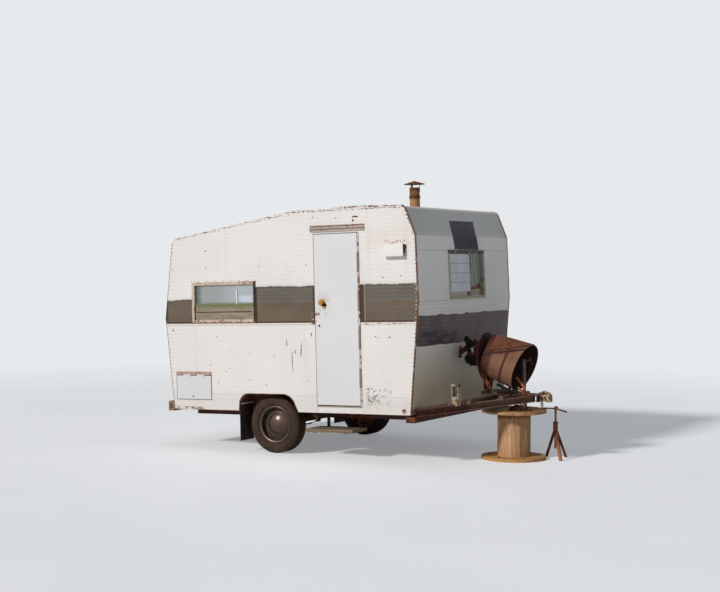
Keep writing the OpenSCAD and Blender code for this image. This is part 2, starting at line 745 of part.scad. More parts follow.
module wheel_at(s) {
    pitched() translate([axle_x, s * wheel_y, axle_z]) rotate([-s * 90, 0, 0]) children();
}
module tyre_shape() {
    w = tyre_w / 2;
    r = axle_z;
    rotate_extrude($fn = 96) polygon([[rim_r, -60], [rim_r + 10, -60], [rim_r + 18, -w + 12],
        [rim_r + 40, -w + 1], [rim_r + 62, -w], [r - 22, -w + 5], [r - 8, -w + 14],
        [r - 2, -w + 28], [r, -w + 44], [r, w - 44], [r - 2, w - 28], [r - 8, w - 14],
        [r - 22, w - 5], [rim_r + 62, w], [rim_r + 40, w - 1], [rim_r + 18, w - 12],
        [rim_r + 10, 60], [rim_r, 60]]);
}
module rim_shape() {
    rotate_extrude($fn = 96) union() {
        polygon([[rim_r - 6, -60], [rim_r, -60], [rim_r, 60], [rim_r - 6, 60]]);
        for (s = [-1, 1]) translate([rim_r - 6, s * 63 - 3]) square([14, 6]);
        polygon([[34, 16], [cap_r + 4, 16], [cap_r + 26, 6], [rim_r - 5, 0], [rim_r - 5, 8],
            [cap_r + 28, 14], [cap_r + 6, 24], [34, 24]]);
        translate([spindle_r + pin_gap, -34]) square([22, 70]);
    }
}
module hubcap_shape() {
    rotate_extrude($fn = 96) polygon(concat(
        [for (k = [0:8]) [cap_r * k / 8, 24 + 38 * (1 - pow(k / 8, 2.4))]],
        [for (k = [8:-1:0]) [(cap_r - 4) * k / 8, 24 + 34 * (1 - pow(k / 8, 2.4))]]));
}
module tyre_near() { color([0.2, 0.18, 0.16]) wheel_at(-1) mirror([0, 0, 1]) tyre_shape(); }
module rim_near() { color([0.45, 0.38, 0.32]) wheel_at(-1) rim_shape(); }
module hubcap_near() { color([0.5, 0.42, 0.35]) wheel_at(-1) hubcap_shape(); }
module tyre_far() { color([0.2, 0.18, 0.16]) wheel_at(1) tyre_shape(); }
module rim_far() { color([0.4, 0.22, 0.16]) wheel_at(1) rim_shape(); }
module hubcap_far() { color([0.5, 0.42, 0.35]) wheel_at(1) hubcap_shape(); }

module mud_flaps() {
    x = arch_x0 - 5;
    color([0.1, 0.1, 0.1]) pitched() for (s = [-1, 1]) {
        ya = s * (half_w - wall - 195);
        box([x, min(ya, s * (half_w - 8)), 118], [x + flap_t, max(ya, s * (half_w - 8)), floor_z - 4]);
        box([x, min(ya, s * (half_w - wall - 3)), floor_z - 5],
            [x + flap_t, max(ya, s * (half_w - wall - 3)), floor_z + 75]);
    }
}
module step_board() {
    color([0.5, 0.44, 0.38]) pitched()
        box([step_x0, 55 - half_w, step_z - 16],
            [step_x0 + step_l, -rail_y - rail_w / 2 - 8, step_z + 14]);
}
module step_brackets() {
    y = -rail_y - rail_w / 2;
    color([0.35, 0.25, 0.2]) pitched() for (x = [step_x0 + 72, step_x0 + step_l - 102]) {
        box([x, y - 6, step_z - 22], [x + 34, y, rail_top - 12]);
        box([x, 65 - half_w, step_z - 22], [x + 34, y - 5, step_z - 16]);
    }
}
module rear_bumper() {
    color([0.4, 0.33, 0.28]) pitched() {
        box([tail_bot_x - 86, -half_w + 6, 398], [tail_bot_x - 16, half_w - 6, 496]);
        for (s = [-1, 1])
            box([tail_bot_x - 30, s * rail_y - 18, 398], [tail_bot_x + 30, s * rail_y + 18, floor_z - 0.3]);
    }
}

// the two converging channels: s is the side, g a clearance around their outer form
arm_run = [arm_x1 - arm_x0, arm_y1 - arm_y0, arm_z1 - arm_z0];
function arm_share(x) = (x - arm_x0) / arm_run[0];
function arm_y(x) = arm_y0 + arm_share(x) * arm_run[1];
function arm_z(x) = arm_z0 + arm_share(x) * arm_run[2];
module along_arm(s) {
    d = [arm_run[0], s * arm_run[1], arm_run[2]];
    translate([arm_x0, s * arm_y0, arm_z0])
        rotate([0, -asin(d[2] / norm(d)), atan2(d[1], d[0])]) children();
}
module arm_form(s, g) {
    along_arm(s) translate([-g, -arm_w / 2 - g, -arm_h / 2 - g])
        cube([norm(arm_run) + 2 * g, arm_w + 2 * g, arm_h + 2 * g]);
}
module tow_arms() {
    color([0.33, 0.16, 0.14]) pitched() for (s = [-1, 1]) difference() {
        arm_form(s, 0);
        along_arm(s) translate([-1, s > 0 ? 7 - arm_w / 2 : -1 - arm_w / 2, 7 - arm_h / 2])
            cube([norm(arm_run) + 2, arm_w - 6, arm_h - 14]);
    }
}
module coupler() {
    color([0.4, 0.3, 0.24]) pitched() {
        difference() {
            union() {
                // plate over the arms, with the jack's hole
                translate([0, 0, arm_top + seat]) linear_extrude(8)
                    polygon([[jack_x - 70, -150], [jack_x + 60, -100], [body_x0 + 50, -34],
                        [body_x0 + 50, 34], [jack_x + 60, 100], [jack_x - 70, 150]]);
                box([body_x0, -30, arm_top - 56], [tip_x - nose_r, 30, arm_top + 2]);
                translate([tip_x - nose_r, 0, arm_top - 66]) cylinder(r = nose_r, h = 70);
            }
            translate([tip_x - nose_r, 0, arm_top - 67]) cylinder(r = ball_r, h = 41);
            translate([jack_x, 0, arm_top - 20]) cylinder(r = jack_r + seat, h = 60);
        }
        translate([tip_x - nose_r - 78, -7, arm_top]) cube([74, 14, 24]);
    }
}
function tip(p) = let (dx = p[0] - axle_x, dz = p[2] - axle_z)
    [axle_x - x_mid + dx * cos(pitch) - dz * sin(pitch), p[1],
     axle_z + dx * sin(pitch) + dz * cos(pitch)];
foot = tip([jack_x, 0, arm_top - 140]);
// height in the body's own frame of a level z over the ground, under the jack
function level_at_jack(z) = axle_z + (z - axle_z - (jack_x - axle_x) * sin(pitch)) / cos(pitch);
module tongue_jack() {
    z0 = level_at_jack(reel_h + 40);
    z1 = arm_top + jack_up;
    color([0.6, 0.58, 0.55]) {
        pitched() {
            translate([jack_x, 0, z0]) cylinder(r = jack_r, h = z1 - z0);
            translate([jack_x, 0, z1 - 13]) rotate([0, 90, 0]) cylinder(r = 6, h = 74);
            translate([jack_x + 68, 0, z1 - 19]) cylinder(r = 7, h = 34);
        }
        translate([foot[0], 0, reel_h]) cylinder(r = 58, h = 8);
        translate([foot[0], 0, reel_h + 3]) rotate([0, -pitch, 0]) cylinder(r = jack_r + 5, h = 57);
    }
}
// timbers notched over the channels, and a plank along them under the drum
module cross_bars() {
    color([0.3, 0.2, 0.16]) pitched() difference() {
        union() {
            for (x = [nose_bot_x + timber_off, nose_bot_x + timber_off + timber_gap]) {
                y = arm_y(x) + 12;
                z = arm_z(x) + arm_h / 2;
                box([x, -y, z - 8], [x + timber_w, y, z + timber_h]);
            }
            box([nose_bot_x + timber_off - 70, -110, arm_top + 4],
                [jack_x - 75, 10, arm_top + 34]);
        }
        for (s = [-1, 1]) arm_form(s, seat);
    }
}
module arm_bracket() {
    x = nose_bot_x + 256;
    color([0.66, 0.62, 0.55]) pitched() difference() {
        translate([x, -arm_y(x + 35) - 30, arm_z(x) + arm_h / 2 - 6]) difference() {
            cube([70, 60, 206]);
            translate([8, -1, 86]) cube([54, 62, 100]);
        }
        arm_form(-1, seat);
    }
}

reel_x = tip([nose_bot_x + 588, 0, 400])[0];
module reel_flanges() {
    color([0.72, 0.56, 0.36]) translate([reel_x, 0, 0]) for (z = [0, reel_h - reel_flange])
        translate([0, 0, z]) difference() {
            cylinder(r = reel_r, h = reel_flange);
            translate([0, 0, -1]) cylinder(r = 34, h = reel_flange + 2);
        }
}
module reel_staves() {
    a = 360 / staves;
    w = 2 * stave_r * tan(a / 2) - stave_gap;
    color([0.78, 0.62, 0.42]) translate([reel_x, 0, reel_flange]) for (i = [0:staves - 1])
        rotate([0, 0, i * a]) translate([stave_r * cos(a / 2) - stave_t, -w / 2, 0])
            cube([stave_t, w, reel_h - 2 * reel_flange]);
}

module at_drum() { translate(drum_end) rotate([0, 90 + drum_dip, drum_turn]) children(); }
// radius of the drum's outside at height z over its closed end
function drum_at(z) = drum_r - (drum_l - z) * tan(drum_taper);
// a cone that follows the drum's side at a distance d, from z0 to z1
module cone(d, z0, z1) {
    translate([0, 0, z0]) cylinder(r1 = drum_at(z0) + d, r2 = drum_at(z1) + d, h = z1 - z0);
}
module band(d0, d1, z0, z1) {
    difference() {
        cone(d1, z0, z1);
        cone(d0, z0 - 1, z1 + 1);
    }
}
module drum_shell() {
    color([0.62, 0.42, 0.27]) pitched() {
        at_drum() {
            band(-drum_t, 0, 0, drum_l);
            cone(1 - drum_t, 14, 14 + drum_t);
            for (z = [0, drum_l - 8]) band(-1, 4, z, z + 8);
            // the hoop rolled into the side
            translate([0, 0, drum_l - 175]) rotate_extrude($fn = 96)
                polygon([[drum_at(drum_l - 175) - 2, -9], [drum_at(drum_l - 175) + hoop, -3],
                    [drum_at(drum_l - 175) + hoop, 3], [drum_at(drum_l - 175) - 2, 9]]);
        }
        difference() {
            translate([arm_end, drum_end[1] + 30, drum_end[2] - 38]) rotate([0, 90, 0])
                cylinder(r = plate_r, h = plate_t, $fn = 96);
            at_drum() cone(1 - drum_t, 16, drum_l);
        }
    }
}
// a bent sheet lying over the drum's hoop and rims
module drum_lid() {
    color([0.66, 0.4, 0.22]) pitched() intersection() {
        at_drum() band(hoop + 0.65, hoop + 5.5, 40, drum_l + 8, $fn = 96);
        translate(mouth + [-315, -2 * drum_r, 178]) rotate([0, -6, 0]) cube(4 * drum_r);
    }
}
module drum_cradle() {
    color([0.3, 0.2, 0.16]) pitched() difference() {
        at_drum() for (z = [drum_l - 260, drum_l - 70])
            translate([0, -80, z]) cube([700, 160, 8]);
        at_drum() cone(0.3, -10, drum_l + 40);
        box([nose_bot_x - 400, -600, -200], [tip_x + 600, 600, arm_top + 34 + seat]);
    }
}
// the dark irons behind the plate
module drum_arm() {
    color([0.3, 0.14, 0.12]) pitched()
        translate([arm_end, drum_end[1], drum_end[2]]) {
            box([-180, -50, -22], [0, 0, 8]);
            box([-180, -34, 8], [-160, -22, 68]);
            box([-104, -40, -102], [-92, -10, -22]);
            box([-104, -50, -120], [-44, -10, -102]);
            box([-104, -50, 8], [-44, 0, 68]);
        }
}
module safety_chain() {
    z0 = arm_top - 56;
    color([0.45, 0.42, 0.38]) pitched() for (i = [0:3])
        translate([tip_x - 120, 34 + seat, z0 - i * 20 + 4]) rotate([0, 0, i * 90])
            rotate([90, 0, 0]) rotate_extrude($fn = 24) translate([13, 0]) circle(r = 4, $fn = 16);
}

// a screw jack stand on three legs, set beside the reel with its handle on it
stand_turn = 28.9;
stand_legs = [148, 68, -47];
handle_turn = 20;
module jack_stand() {
    lean = atan2(stand_foot - 16, stand_h - 20);
    color([0.36, 0.2, 0.14]) translate([reel_x, 0, 0]) rotate([0, 0, stand_turn])
        translate([reel_r + stand_gap, 0, 0]) rotate([0, 0, -stand_turn]) {
        intersection() {
            union() for (a = stand_legs) rotate([0, 0, a]) translate([stand_foot, 0, 0])
                rotate([0, -lean, 0]) translate([0, 0, -40]) rotate([0, 0, 135])
                    linear_extrude((stand_h - 20) / cos(lean) + 40)
                        polygon([[0, 0], [stand_leg, 0], [stand_leg, 4], [4, 4],
                            [4, stand_leg], [0, stand_leg]]);
            translate([-400, -400, 0]) cube([800, 800, stand_h]);
        }
        translate([0, 0, stand_h - 45]) cylinder(r = 2.3 * screw_r, h = 60);
        translate([0, 0, stand_h + 12]) cylinder(r = 2.6 * screw_r, h = 18, $fn = 6);
        translate([0, 0, 100]) cylinder(r = screw_r, h = reel_h - 70);
        translate([0, 0, reel_h - 6]) cylinder(r = 1.6 * screw_r, h = 30);
        // the handle's long end lies on the reel, the other end is bent down
        translate([0, 0, reel_h + handle_r + seat]) rotate([0, 0, handle_turn]) {
            rotate([0, -90, 0]) cylinder(r = handle_r, h = stand_gap + 33);
            rotate([0, 107, 0]) cylinder(r = handle_r, h = 115);
        }
    }
}

side_wall_rear();
side_wall_front();
side_wall_header();
door_sill();
far_side_wall();
front_wall_lower();
front_wall_upper();
roof_front();
roof_rear();
rear_wall_upper();
rear_wall_lower();
floor_panel();
edge_trims();
drip_rail();
door_leaf();
door_knob();
door_hinge();
door_latch();
door_staple();
hatch_door();
hatch_hinge();
side_window_frames();
side_window_boards();
front_window_frame();
front_window_blind();
window_panes();
vent_hood();
roof_vent();
stove_pipe();
pipe_cap();
wheel_wells();
chassis_rails();
axle();
leaf_springs();
tyre_near();
rim_near();
hubcap_near();
tyre_far();
rim_far();
hubcap_far();
mud_flaps();
step_board();
step_brackets();
rear_bumper();
tow_arms();
coupler();
tongue_jack();
cross_bars();
arm_bracket();
reel_flanges();
reel_staves();
drum_shell();
drum_lid();
drum_cradle();
drum_arm();
safety_chain();
jack_stand();
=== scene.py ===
import random
from math import acos, atan2, cos, pi, radians, sin, tan, tau

import bpy
from mathutils import Matrix, Vector


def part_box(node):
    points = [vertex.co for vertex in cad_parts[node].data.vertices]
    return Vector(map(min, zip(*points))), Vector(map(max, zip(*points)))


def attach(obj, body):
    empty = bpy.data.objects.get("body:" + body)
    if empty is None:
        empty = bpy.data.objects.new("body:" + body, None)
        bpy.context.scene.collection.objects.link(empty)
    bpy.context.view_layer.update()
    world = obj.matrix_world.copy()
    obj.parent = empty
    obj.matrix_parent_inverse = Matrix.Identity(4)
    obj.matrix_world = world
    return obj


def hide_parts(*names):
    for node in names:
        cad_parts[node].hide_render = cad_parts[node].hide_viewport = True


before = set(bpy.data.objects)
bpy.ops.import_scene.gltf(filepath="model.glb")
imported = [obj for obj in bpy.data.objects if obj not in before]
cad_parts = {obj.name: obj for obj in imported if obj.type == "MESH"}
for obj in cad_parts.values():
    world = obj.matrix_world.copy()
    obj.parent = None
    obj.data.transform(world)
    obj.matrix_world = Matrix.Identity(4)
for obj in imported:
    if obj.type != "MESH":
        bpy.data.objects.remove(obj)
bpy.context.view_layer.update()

between = random.uniform

# All is described on the level trailer, in metres: x forward, door side at -y, ground
# under the axle at z = 0. It then tips about its axle and moves to the part's frame.
PITCH = radians(2.0)
AXLE = Vector((-0.16, 0, 0.283))
SHIFT = Vector((-0.504, 0, 0))
PLACE = (Matrix.Translation(AXLE + SHIFT) @ Matrix.Rotation(-PITCH, 4, "Y")
         @ Matrix.Translation(-AXLE))
HW = 1.015              # half the body's width, out to the face of the walls
SIDE_Y = -HW
MARK_Y = -1.019         # where marks lie on the near side's skin
STRIP_Y = -1.018        # outer face of the edge strips and of the hatch
LEAF_Y = -1.02          # outer face of the door
ROOF_Z = 2.366          # height of the roof's level part
RIDGE_X = 0.167         # where the roof starts to fall to the rear
FALL = 0.1532           # its fall over one metre
OUTWARD = (0, -1, 0)
UPWARD = (0, 0, 1)

# corners of the body from the side, from the lower rear one forward and round
OUTLINE = [(-1.322, 0.42), (1.409, 0.42), (1.513, 1.472), (1.499, 2.09),
           (1.392, ROOF_Z), (RIDGE_X, ROOF_Z), (-1.302, 2.141), (-1.41, 1.345)]


def rounded(points, radii, n=5):
    """The outline with arcs for the corners that radii names."""
    out = []
    for i, q in enumerate(points):
        if i not in radii:
            out.append(q)
            continue
        p, s = Vector(points[i - 1]), Vector(points[(i + 1) % len(points)])
        q, r = Vector(q), radii[i]
        a, b = (p - q).normalized(), (s - q).normalized()
        h = acos(a.dot(b)) / 2
        c = q + (a + b).normalized() * r / sin(h)
        u = q + a * r / tan(h) - c
        for k in range(n + 1):
            t = (pi - 2 * h) * k / n
            out.append((c[0] + u[0] * cos(t) - u[1] * sin(t),
                        c[1] + u[0] * sin(t) + u[1] * cos(t)))
    return out


RIM = rounded(OUTLINE, {4: 0.07, 6: 0.07})
ARCH = rounded([(-0.5195, 0.4), (0.1755, 0.4), (0.0905, 0.586), (-0.5075, 0.586)],
               {2: 0.14, 3: 0.11}, 10)


def crossing(loop, z):
    """The two places where a closed outline crosses the height z."""
    xs = []
    for i, p in enumerate(loop):
        q = loop[(i + 1) % len(loop)]
        if (p[1] - z) * (q[1] - z) < 0:
            xs.append(p[0] + (q[0] - p[0]) * (z - p[1]) / (q[1] - p[1]))
    return (min(xs), max(xs)) if len(xs) > 1 else None


def lin(r, g, b):
    """A display colour of 0 to 255 as scene values."""
    return tuple(((c / 255 + 0.055) / 1.055) ** 2.4 if c > 10 else c / 255 / 12.92
                 for c in (r, g, b))


def shade(colour, share):
    """A darker display colour, as a scene colour."""
    return (*(v * share for v in lin(*colour)), 1)


class Graph:
    """Writes the nodes of one tree. A colour of three values is a display colour, and
    one of four values is a scene colour."""

    def __init__(self, tree):
        self.nt = tree

    def new(self, kind, *ins, **props):
        node = self.nt.nodes.new("ShaderNode" + kind)
        for k, v in props.items():
            setattr(node, k, v)
        for i, v in enumerate(ins):
            self.put(node.inputs[i], v)
        return node

    def put(self, socket, v):
        if isinstance(v, bpy.types.NodeSocket):
            self.nt.links.new(v, socket)
        elif v is not None:
            display = socket.type == "RGBA" and len(v) == 3
            socket.default_value = (*lin(*v), 1) if display else v

    def math(self, op, a, *rest):
        for b in rest or [None]:
            a = self.new("Math", a, b, operation=op).outputs[0]
        return a

    def mul(self, *vs):
        return self.math("MULTIPLY", *vs) if len(vs) > 1 else vs[0]

    def add(self, *vs):
        return self.math("ADD", *vs)

    def sub(self, a, b):
        return self.math("SUBTRACT", a, b)

    def most(self, *vs):
        return self.math("MAXIMUM", *vs)

    def least(self, *vs):
        return self.math("MINIMUM", *vs)


class Look(Graph):
    """A node material; x, y and z are those of the level trailer, c is its colour so far."""

    def __init__(self, name, rough=0.6, metallic=0.0):
        self.mat = bpy.data.materials.new(name)
        self.mat.use_nodes = True
        super().__init__(self.mat.node_tree)
        self.nt.nodes.clear()
        self.bsdf = self.new("BsdfPrincipled")
        self.out = self.new("OutputMaterial", self.bsdf.outputs[0]).inputs[0]
        self.set("Roughness", rough)
        self.set("Metallic", metallic)
        self.set("Specular IOR Level", 0.22)
        where = AXLE - Matrix.Rotation(PITCH, 3, "Y") @ (AXLE + SHIFT)
        self.co = self.new("TexCoord").outputs["Object"]
        self.co = self.new("Mapping", self.co, where, (0, PITCH, 0)).outputs[0]
        self.x, self.y, self.z = self.new("SeparateXYZ", self.co).outputs

    def set(self, name, v):
        self.put(self.bsdf.inputs[name], v)

    def paint(self, rules=None):
        """Gives the surface the colour it carries, after a look's own rules."""
        if rules:
            rules(self)
        self.set("Base Color", self.c)
        return self.mat

    def stretch(self, *s):
        return self.new("Mapping", self.co, None, None, s).outputs[0]

    def noise(self, scale, detail=4.0, rough=0.55, vec=None):
        return self.new("TexNoise", vec or self.co, None, scale, detail,
                        rough).outputs["Fac"]

    def step(self, v, lo, hi, out=(0.0, 1.0)):
        """A smooth change of v's share from lo to hi."""
        return self.new("MapRange", v, lo, hi, *out,
                        interpolation_type="SMOOTHSTEP").outputs[0]

    def fall(self, v, lo, hi):
        return self.step(v, lo, hi, (1.0, 0.0))

    def over(self, v, edge, soft=0.001):
        return self.step(self.sub(v, edge), -soft, soft)

    def under(self, v, edge, soft=0.001):
        return self.fall(self.sub(v, edge), -soft, soft)

    def band(self, v, lo, hi, soft=0.001):
        """1 between lo and hi, with soft edges."""
        return self.mul(self.over(v, lo, soft), self.under(v, hi, soft))

    def rect(self, x0, x1, z0, z1, soft=0.001):
        return self.mul(self.band(self.x, x0, x1, soft), self.band(self.z, z0, z1, soft))

    def mix(self, fac, a, b):
        n = self.new("Mix", fac, data_type="RGBA")
        self.put(n.inputs[6], a)
        self.put(n.inputs[7], b)
        return n.outputs[2]

    def laid(self, under, colour, *masks):
        """A colour laid over another, as far as the masks' product says."""
        return self.mix(self.mul(*masks), under, colour)

    def lay(self, colour, *masks):
        """The same over the material's own colour."""
        self.c = self.laid(self.c, colour, *masks)

    def wave(self, scale, size, across="x"):
        """A wavering value about 0 that changes along one axis only."""
        flat = self.stretch(*(1 if a == across else 0.02 for a in "xyz"))
        return self.mul(self.sub(self.noise(scale, 3, 0.6, flat), 0.5), size)

    def groove(self):
        """1 in the grooves between the ribs."""
        share = self.math("DIVIDE", self.sub(self.z, RIB_Z), RIB)
        return self.band(self.math("FRACT", share), 0.83, 0.97, 0.03)

    def bump(self, height, strength, distance):
        b = self.new("Bump")
        for name, v in (("Strength", strength), ("Distance", distance), ("Height", height)):
            self.put(b.inputs[name], v)
        self.set("Normal", b.outputs[0])


RIB, RIB_Z = 0.038, 0.4205      # pitch of the ribs and height of the lowest
STRIPE_Z = 1.285                # lower edge of the stripe on sides and rear
WHITE = (241, 237, 234)
RUST = (128, 74, 42)
DARK_RUST = (64, 36, 28)
DIRT = (132, 112, 94)


def panelled(k, inside):
    """Worn tan boarding on the faces inside the room: the finished material."""
    grain = k.step(k.noise(26, 4, 0.6, k.stretch(1, 1, 0.08)), 0.35, 0.7)
    wood = k.mix(grain, (150, 122, 88), (184, 156, 118))
    seam = k.under(k.math("FRACT", k.mul(k.add(k.x, k.y), 2.5)), 0.03, 0.01)
    k.lay(k.laid(wood, (84, 64, 46), seam, 0.7), inside)
    return k.paint()


def nose_x(k):
    """The x of the body's front at each height."""
    return k.least(*(k.add(k.mul(k.z, slope), x) for slope, x in
                     ((0.0989, 1.3675), (-0.02265, 1.5463), (-0.3877, 2.3093))))


def tail_x(k):
    """The x of the body's back at each height."""
    return k.most(*(k.add(k.mul(k.z, slope), x) for slope, x in
                    ((-0.0951, -1.2821), (0.1357, -1.5925))))


def enamel(name, base=WHITE, dirt=1.0, rough=0.5):
    """Old white enamel, a little chalky and streaked."""
    k = Look(name, rough)
    broad = k.noise(1.3, 4, 0.55)
    k.c = k.mix(k.step(broad, 0.38, 0.72), base, shade(base, 0.95))
    run = k.noise(2.6, 4, 0.6, k.stretch(5, 5, 0.3))
    k.lay((208, 194, 182), k.step(run, 0.52, 0.8), 0.2 * dirt)
    low = k.fall(k.add(k.z, k.mul(k.noise(2.4), 0.25)), 0.5, 0.78)
    k.lay(DIRT, low, 0.25 * dirt, k.noise(9, 5))
    fleck = k.mul(k.over(k.noise(52, 3, 0.5), 0.735, 0.02), k.over(k.noise(3.2), 0.55, 0.05))
    k.lay(RUST, fleck, 0.7 * dirt)
    k.set("Roughness", k.step(broad, 0.2, 0.8, (rough - 0.08, rough + 0.14)))
    k.bump(k.add(k.mul(k.noise(2.2, 2), 1.3), k.mul(k.noise(7, 2), 0.4)), 0.3, 0.009)
    return k


def side_paint(name, face):
    """Ribbed siding with the brown stripe, on the near, far or rear face. On the sides
    the stripe is higher ahead of the window than behind it."""
    k = enamel(name)
    rear, near = face == "rear", face == "near"
    groove_shade = k.groove()
    # painted shade: the grooves between the ribs are a little darker
    k.lay((206, 198, 196), groove_shade, 0.2)
    along = "y" if rear else "x"
    wavy = k.add(k.wave(7, 0.03, along), k.wave(34, 0.016, along))
    top = 1.525 if rear else k.step(k.x, -1.078, -1.07, (1.525, 1.64))
    over = k.sub(k.add(k.z, wavy), top)
    up = k.math("GREATER_THAN", k.z, STRIPE_Z)
    on = k.mul(k.fall(over, -0.004, 0.006), up)
    k.lay((128, 122, 114), k.fall(over, 0.0, 0.03), up, k.noise(40, 3), 0.55)
    patchy = k.step(k.noise(5, 5, 0.6, k.stretch(0.7, 0.7, 1.6)), 0.35, 0.7)
    tone = k.mix(patchy, (114, 100, 84), (100, 87, 74))
    tone = k.laid(tone, (106, 98, 88), k.step(k.noise(2.2, 3), 0.5, 0.7), 0.5)
    upper = k.over(k.z, 1.48, 0.006)
    if not rear:
        upper = k.mul(upper, k.over(k.x, -1.06))
    tone = k.mix(upper, tone, k.mix(patchy, (112, 105, 96), (102, 97, 90)))
    # painted shade in the grooves of the stripe's upper part
    tone = k.laid(tone, (84, 78, 70), groove_shade, upper, 0.6)
    tone = k.laid(tone, (84, 76, 66), k.step(over, -0.02, -0.004), 0.75)
    dark = k.band(k.z, STRIPE_Z, 1.302, 0.003)
    if not rear:
        dark = k.most(dark, k.band(k.x, -0.292, -0.276, 0.002), k.under(k.x, -1.378, 0.006))
    if near:
        dark = k.most(dark, k.band(k.x, 0.372, 0.395, 0.002), k.band(k.x, 0.89, 0.94, 0.004))
        tone = k.laid(tone, (176, 162, 148), k.band(k.x, 0.945, 0.953), 0.7)
    k.lay(k.laid(tone, (74, 54, 42), dark, 0.88), on)
    k.lay((196, 180, 166), k.band(k.z, 1.262, 1.276, 0.003), 0.5)
    if rear:
        return panelled(k, k.over(k.x, k.add(tail_x(k), 0.02)))
    edge = k.rect(-1.33, -0.95, 0.4, 0.446, 0.004)
    k.lay((128, 84, 58), edge, k.step(k.noise(22, 4), 0.42, 0.6))
    out = k.math("ABSOLUTE", k.y)
    k.lay(k.mix(k.noise(12, 4), (58, 38, 30), (124, 78, 52)), k.under(out, 1.014),
          k.rect(-0.56, 0.21, 0.38, 0.62))
    if near:
        scuff = k.over(k.noise(26, 5, 0.65), 0.56, 0.05)
        k.lay((112, 104, 98), k.rect(0.93, 1.2, 0.48, 0.66, 0.05), scuff, 0.5)
        k.lay((226, 196, 168), k.rect(0.95, 1.44, 2.03, 2.12, 0.1), 0.24)
    return panelled(k, k.mul(k.under(out, 0.98), k.over(k.z, 0.47)))


def front_paint(name):
    """The front: smooth above, ribbed and tan below, the tan partly dirt and partly painted bounce
    light, with the stripe and a dark patch.
    """
    k = enamel(name)
    groove_shade = k.groove()
    # tan towards the bottom: partly dirt, partly painted bounce light
    k.lay((194, 180, 150), k.fall(k.add(k.z, k.mul(k.noise(3), 0.3)), 0.75, 1.3), 0.85)
    # painted shade in the grooves of the lower front
    k.lay((168, 160, 148), groove_shade, k.under(k.z, 1.462), 0.32)
    seam = k.most(k.band(k.z, 1.949, 1.953), k.band(k.z, 1.466, 1.47),
                  k.mul(k.band(k.z, 2.088, 2.092), 0.6), k.mul(k.band(k.z, 2.225, 2.229), 0.5))
    k.lay((120, 116, 108), seam, 0.6)
    wavy = k.add(k.wave(5, 0.05, "y"), k.wave(24, 0.02, "y"))
    on = k.mul(k.under(k.add(k.z, wavy), 1.34, 0.004),
               k.over(k.add(k.z, k.mul(wavy, 0.5)), 1.052, 0.003))
    tone = k.mix(k.step(k.noise(4, 4), 0.35, 0.7), (112, 98, 96), (94, 80, 80))
    # painted shade in the stripe's grooves
    tone = k.laid(tone, (66, 56, 56), groove_shade, 0.7)
    blotch = k.over(k.noise(7, 4, 0.6, k.stretch(1, 0.6, 3)), 0.44, 0.05)
    tone = k.laid(tone, (50, 44, 58), k.band(k.z, 1.06, 1.19, 0.03),
                 k.band(k.y, -0.93, -0.15, 0.06), blotch, 0.85)
    k.lay(tone, on)
    # painted shade: the sloping nose up to the roof is greyed a little
    k.lay((196, 200, 199), k.step(k.z, 2.07, 2.135), k.over(k.x, 1.3905, 0.003), 0.65)
    wob = k.mul(k.sub(k.noise(22, 3), 0.5), 0.02)
    lean = k.least(k.mul(k.sub(k.z, 1.96), 0.28), k.sub(0.036, k.mul(k.sub(k.z, 2.09), 0.33)))
    ink = k.mul(k.band(k.add(k.y, wob, lean), -0.213, 0.318, 0.003),
                k.band(k.add(k.z, wob), 1.958, 2.242, 0.003))
    k.lay(k.mix(k.step(k.noise(12, 4), 0.4, 0.7), (34, 32, 44), (46, 44, 56)), ink)
    k.lay((130, 78, 52), k.band(k.z, 0.4, 0.475, 0.012), k.over(k.noise(18, 4), 0.42, 0.08),
              0.85)
    return panelled(k, k.mul(k.under(k.x, k.sub(nose_x(k), 0.02)), k.under(k.z, 2.346)))


def door_paint(name):
    k = enamel(name, (230, 230, 232), 0.35, 0.42)
    edge = k.most(k.band(k.x, 0.394, 0.401), k.band(k.z, 0.478, 0.487), k.band(k.z, 2.126, 2.134))
    k.lay((206, 192, 176), edge, 0.6)
    # painted shade: a dark band along the hinge edge, where the gap to the jamb lies
    k.lay((120, 92, 74), k.over(k.x, 0.8755), 0.85)
    hand = k.mul(k.rect(0.44, 0.56, 1.34, 1.56, 0.05), k.over(k.noise(22, 4), 0.5, 0.12))
    k.lay((176, 156, 132), hand, 0.35)
    return k.paint()


def hatch_paint(name):
    k = enamel(name, (228, 228, 232), 0.5)
    k.lay((178, 152, 134), k.most(k.under(k.x, -1.286), k.band(k.z, 0.52, 0.524)), 0.45)
    k.lay((70, 54, 48), k.over(k.x, -0.86), 0.9)
    k.lay((96, 72, 56), k.rect(-1.092, -1.076, 0.54, 0.556, 0.003))
    return k.paint()


def plain_paint(name, base, dirt, roof=False):
    k = enamel(name, base, dirt)
    if not roof:
        return k.paint()
    top = k.least(ROOF_Z, k.add(k.mul(k.x, FALL), 2.3404))
    return panelled(k, k.under(k.z, k.sub(top, 0.02)))


def rusty(name, base, amount, metallic=0.0, chips=None, scale=1.0, extra=None,
          rough=(0.6, 0.86)):
    """Painted or bare steel, rusted in patches."""
    k = Look(name, 0.75, metallic)
    patches = k.noise(6 * scale, 6, 0.62)
    fine = k.noise(60 * scale, 4, 0.6)
    rust = k.mix(k.step(fine, 0.3, 0.7), DARK_RUST, RUST)
    rust = k.laid(rust, (156, 92, 50), k.step(k.noise(17 * scale, 4), 0.5, 0.7), 0.6)
    lo = 0.78 - amount * 0.6
    k.c = k.mix(k.step(k.add(patches, k.mul(fine, 0.12)), lo, lo + 0.1), base, rust)
    if chips:
        k.lay(chips, k.step(k.noise(11 * scale, 5), 0.55, 0.6), 0.85)
    k.set("Roughness", k.step(patches, 0.3, 0.7, rough))
    k.bump(k.add(fine, k.mul(patches, 0.8)), 0.45, 0.0015)
    return k.paint(extra)


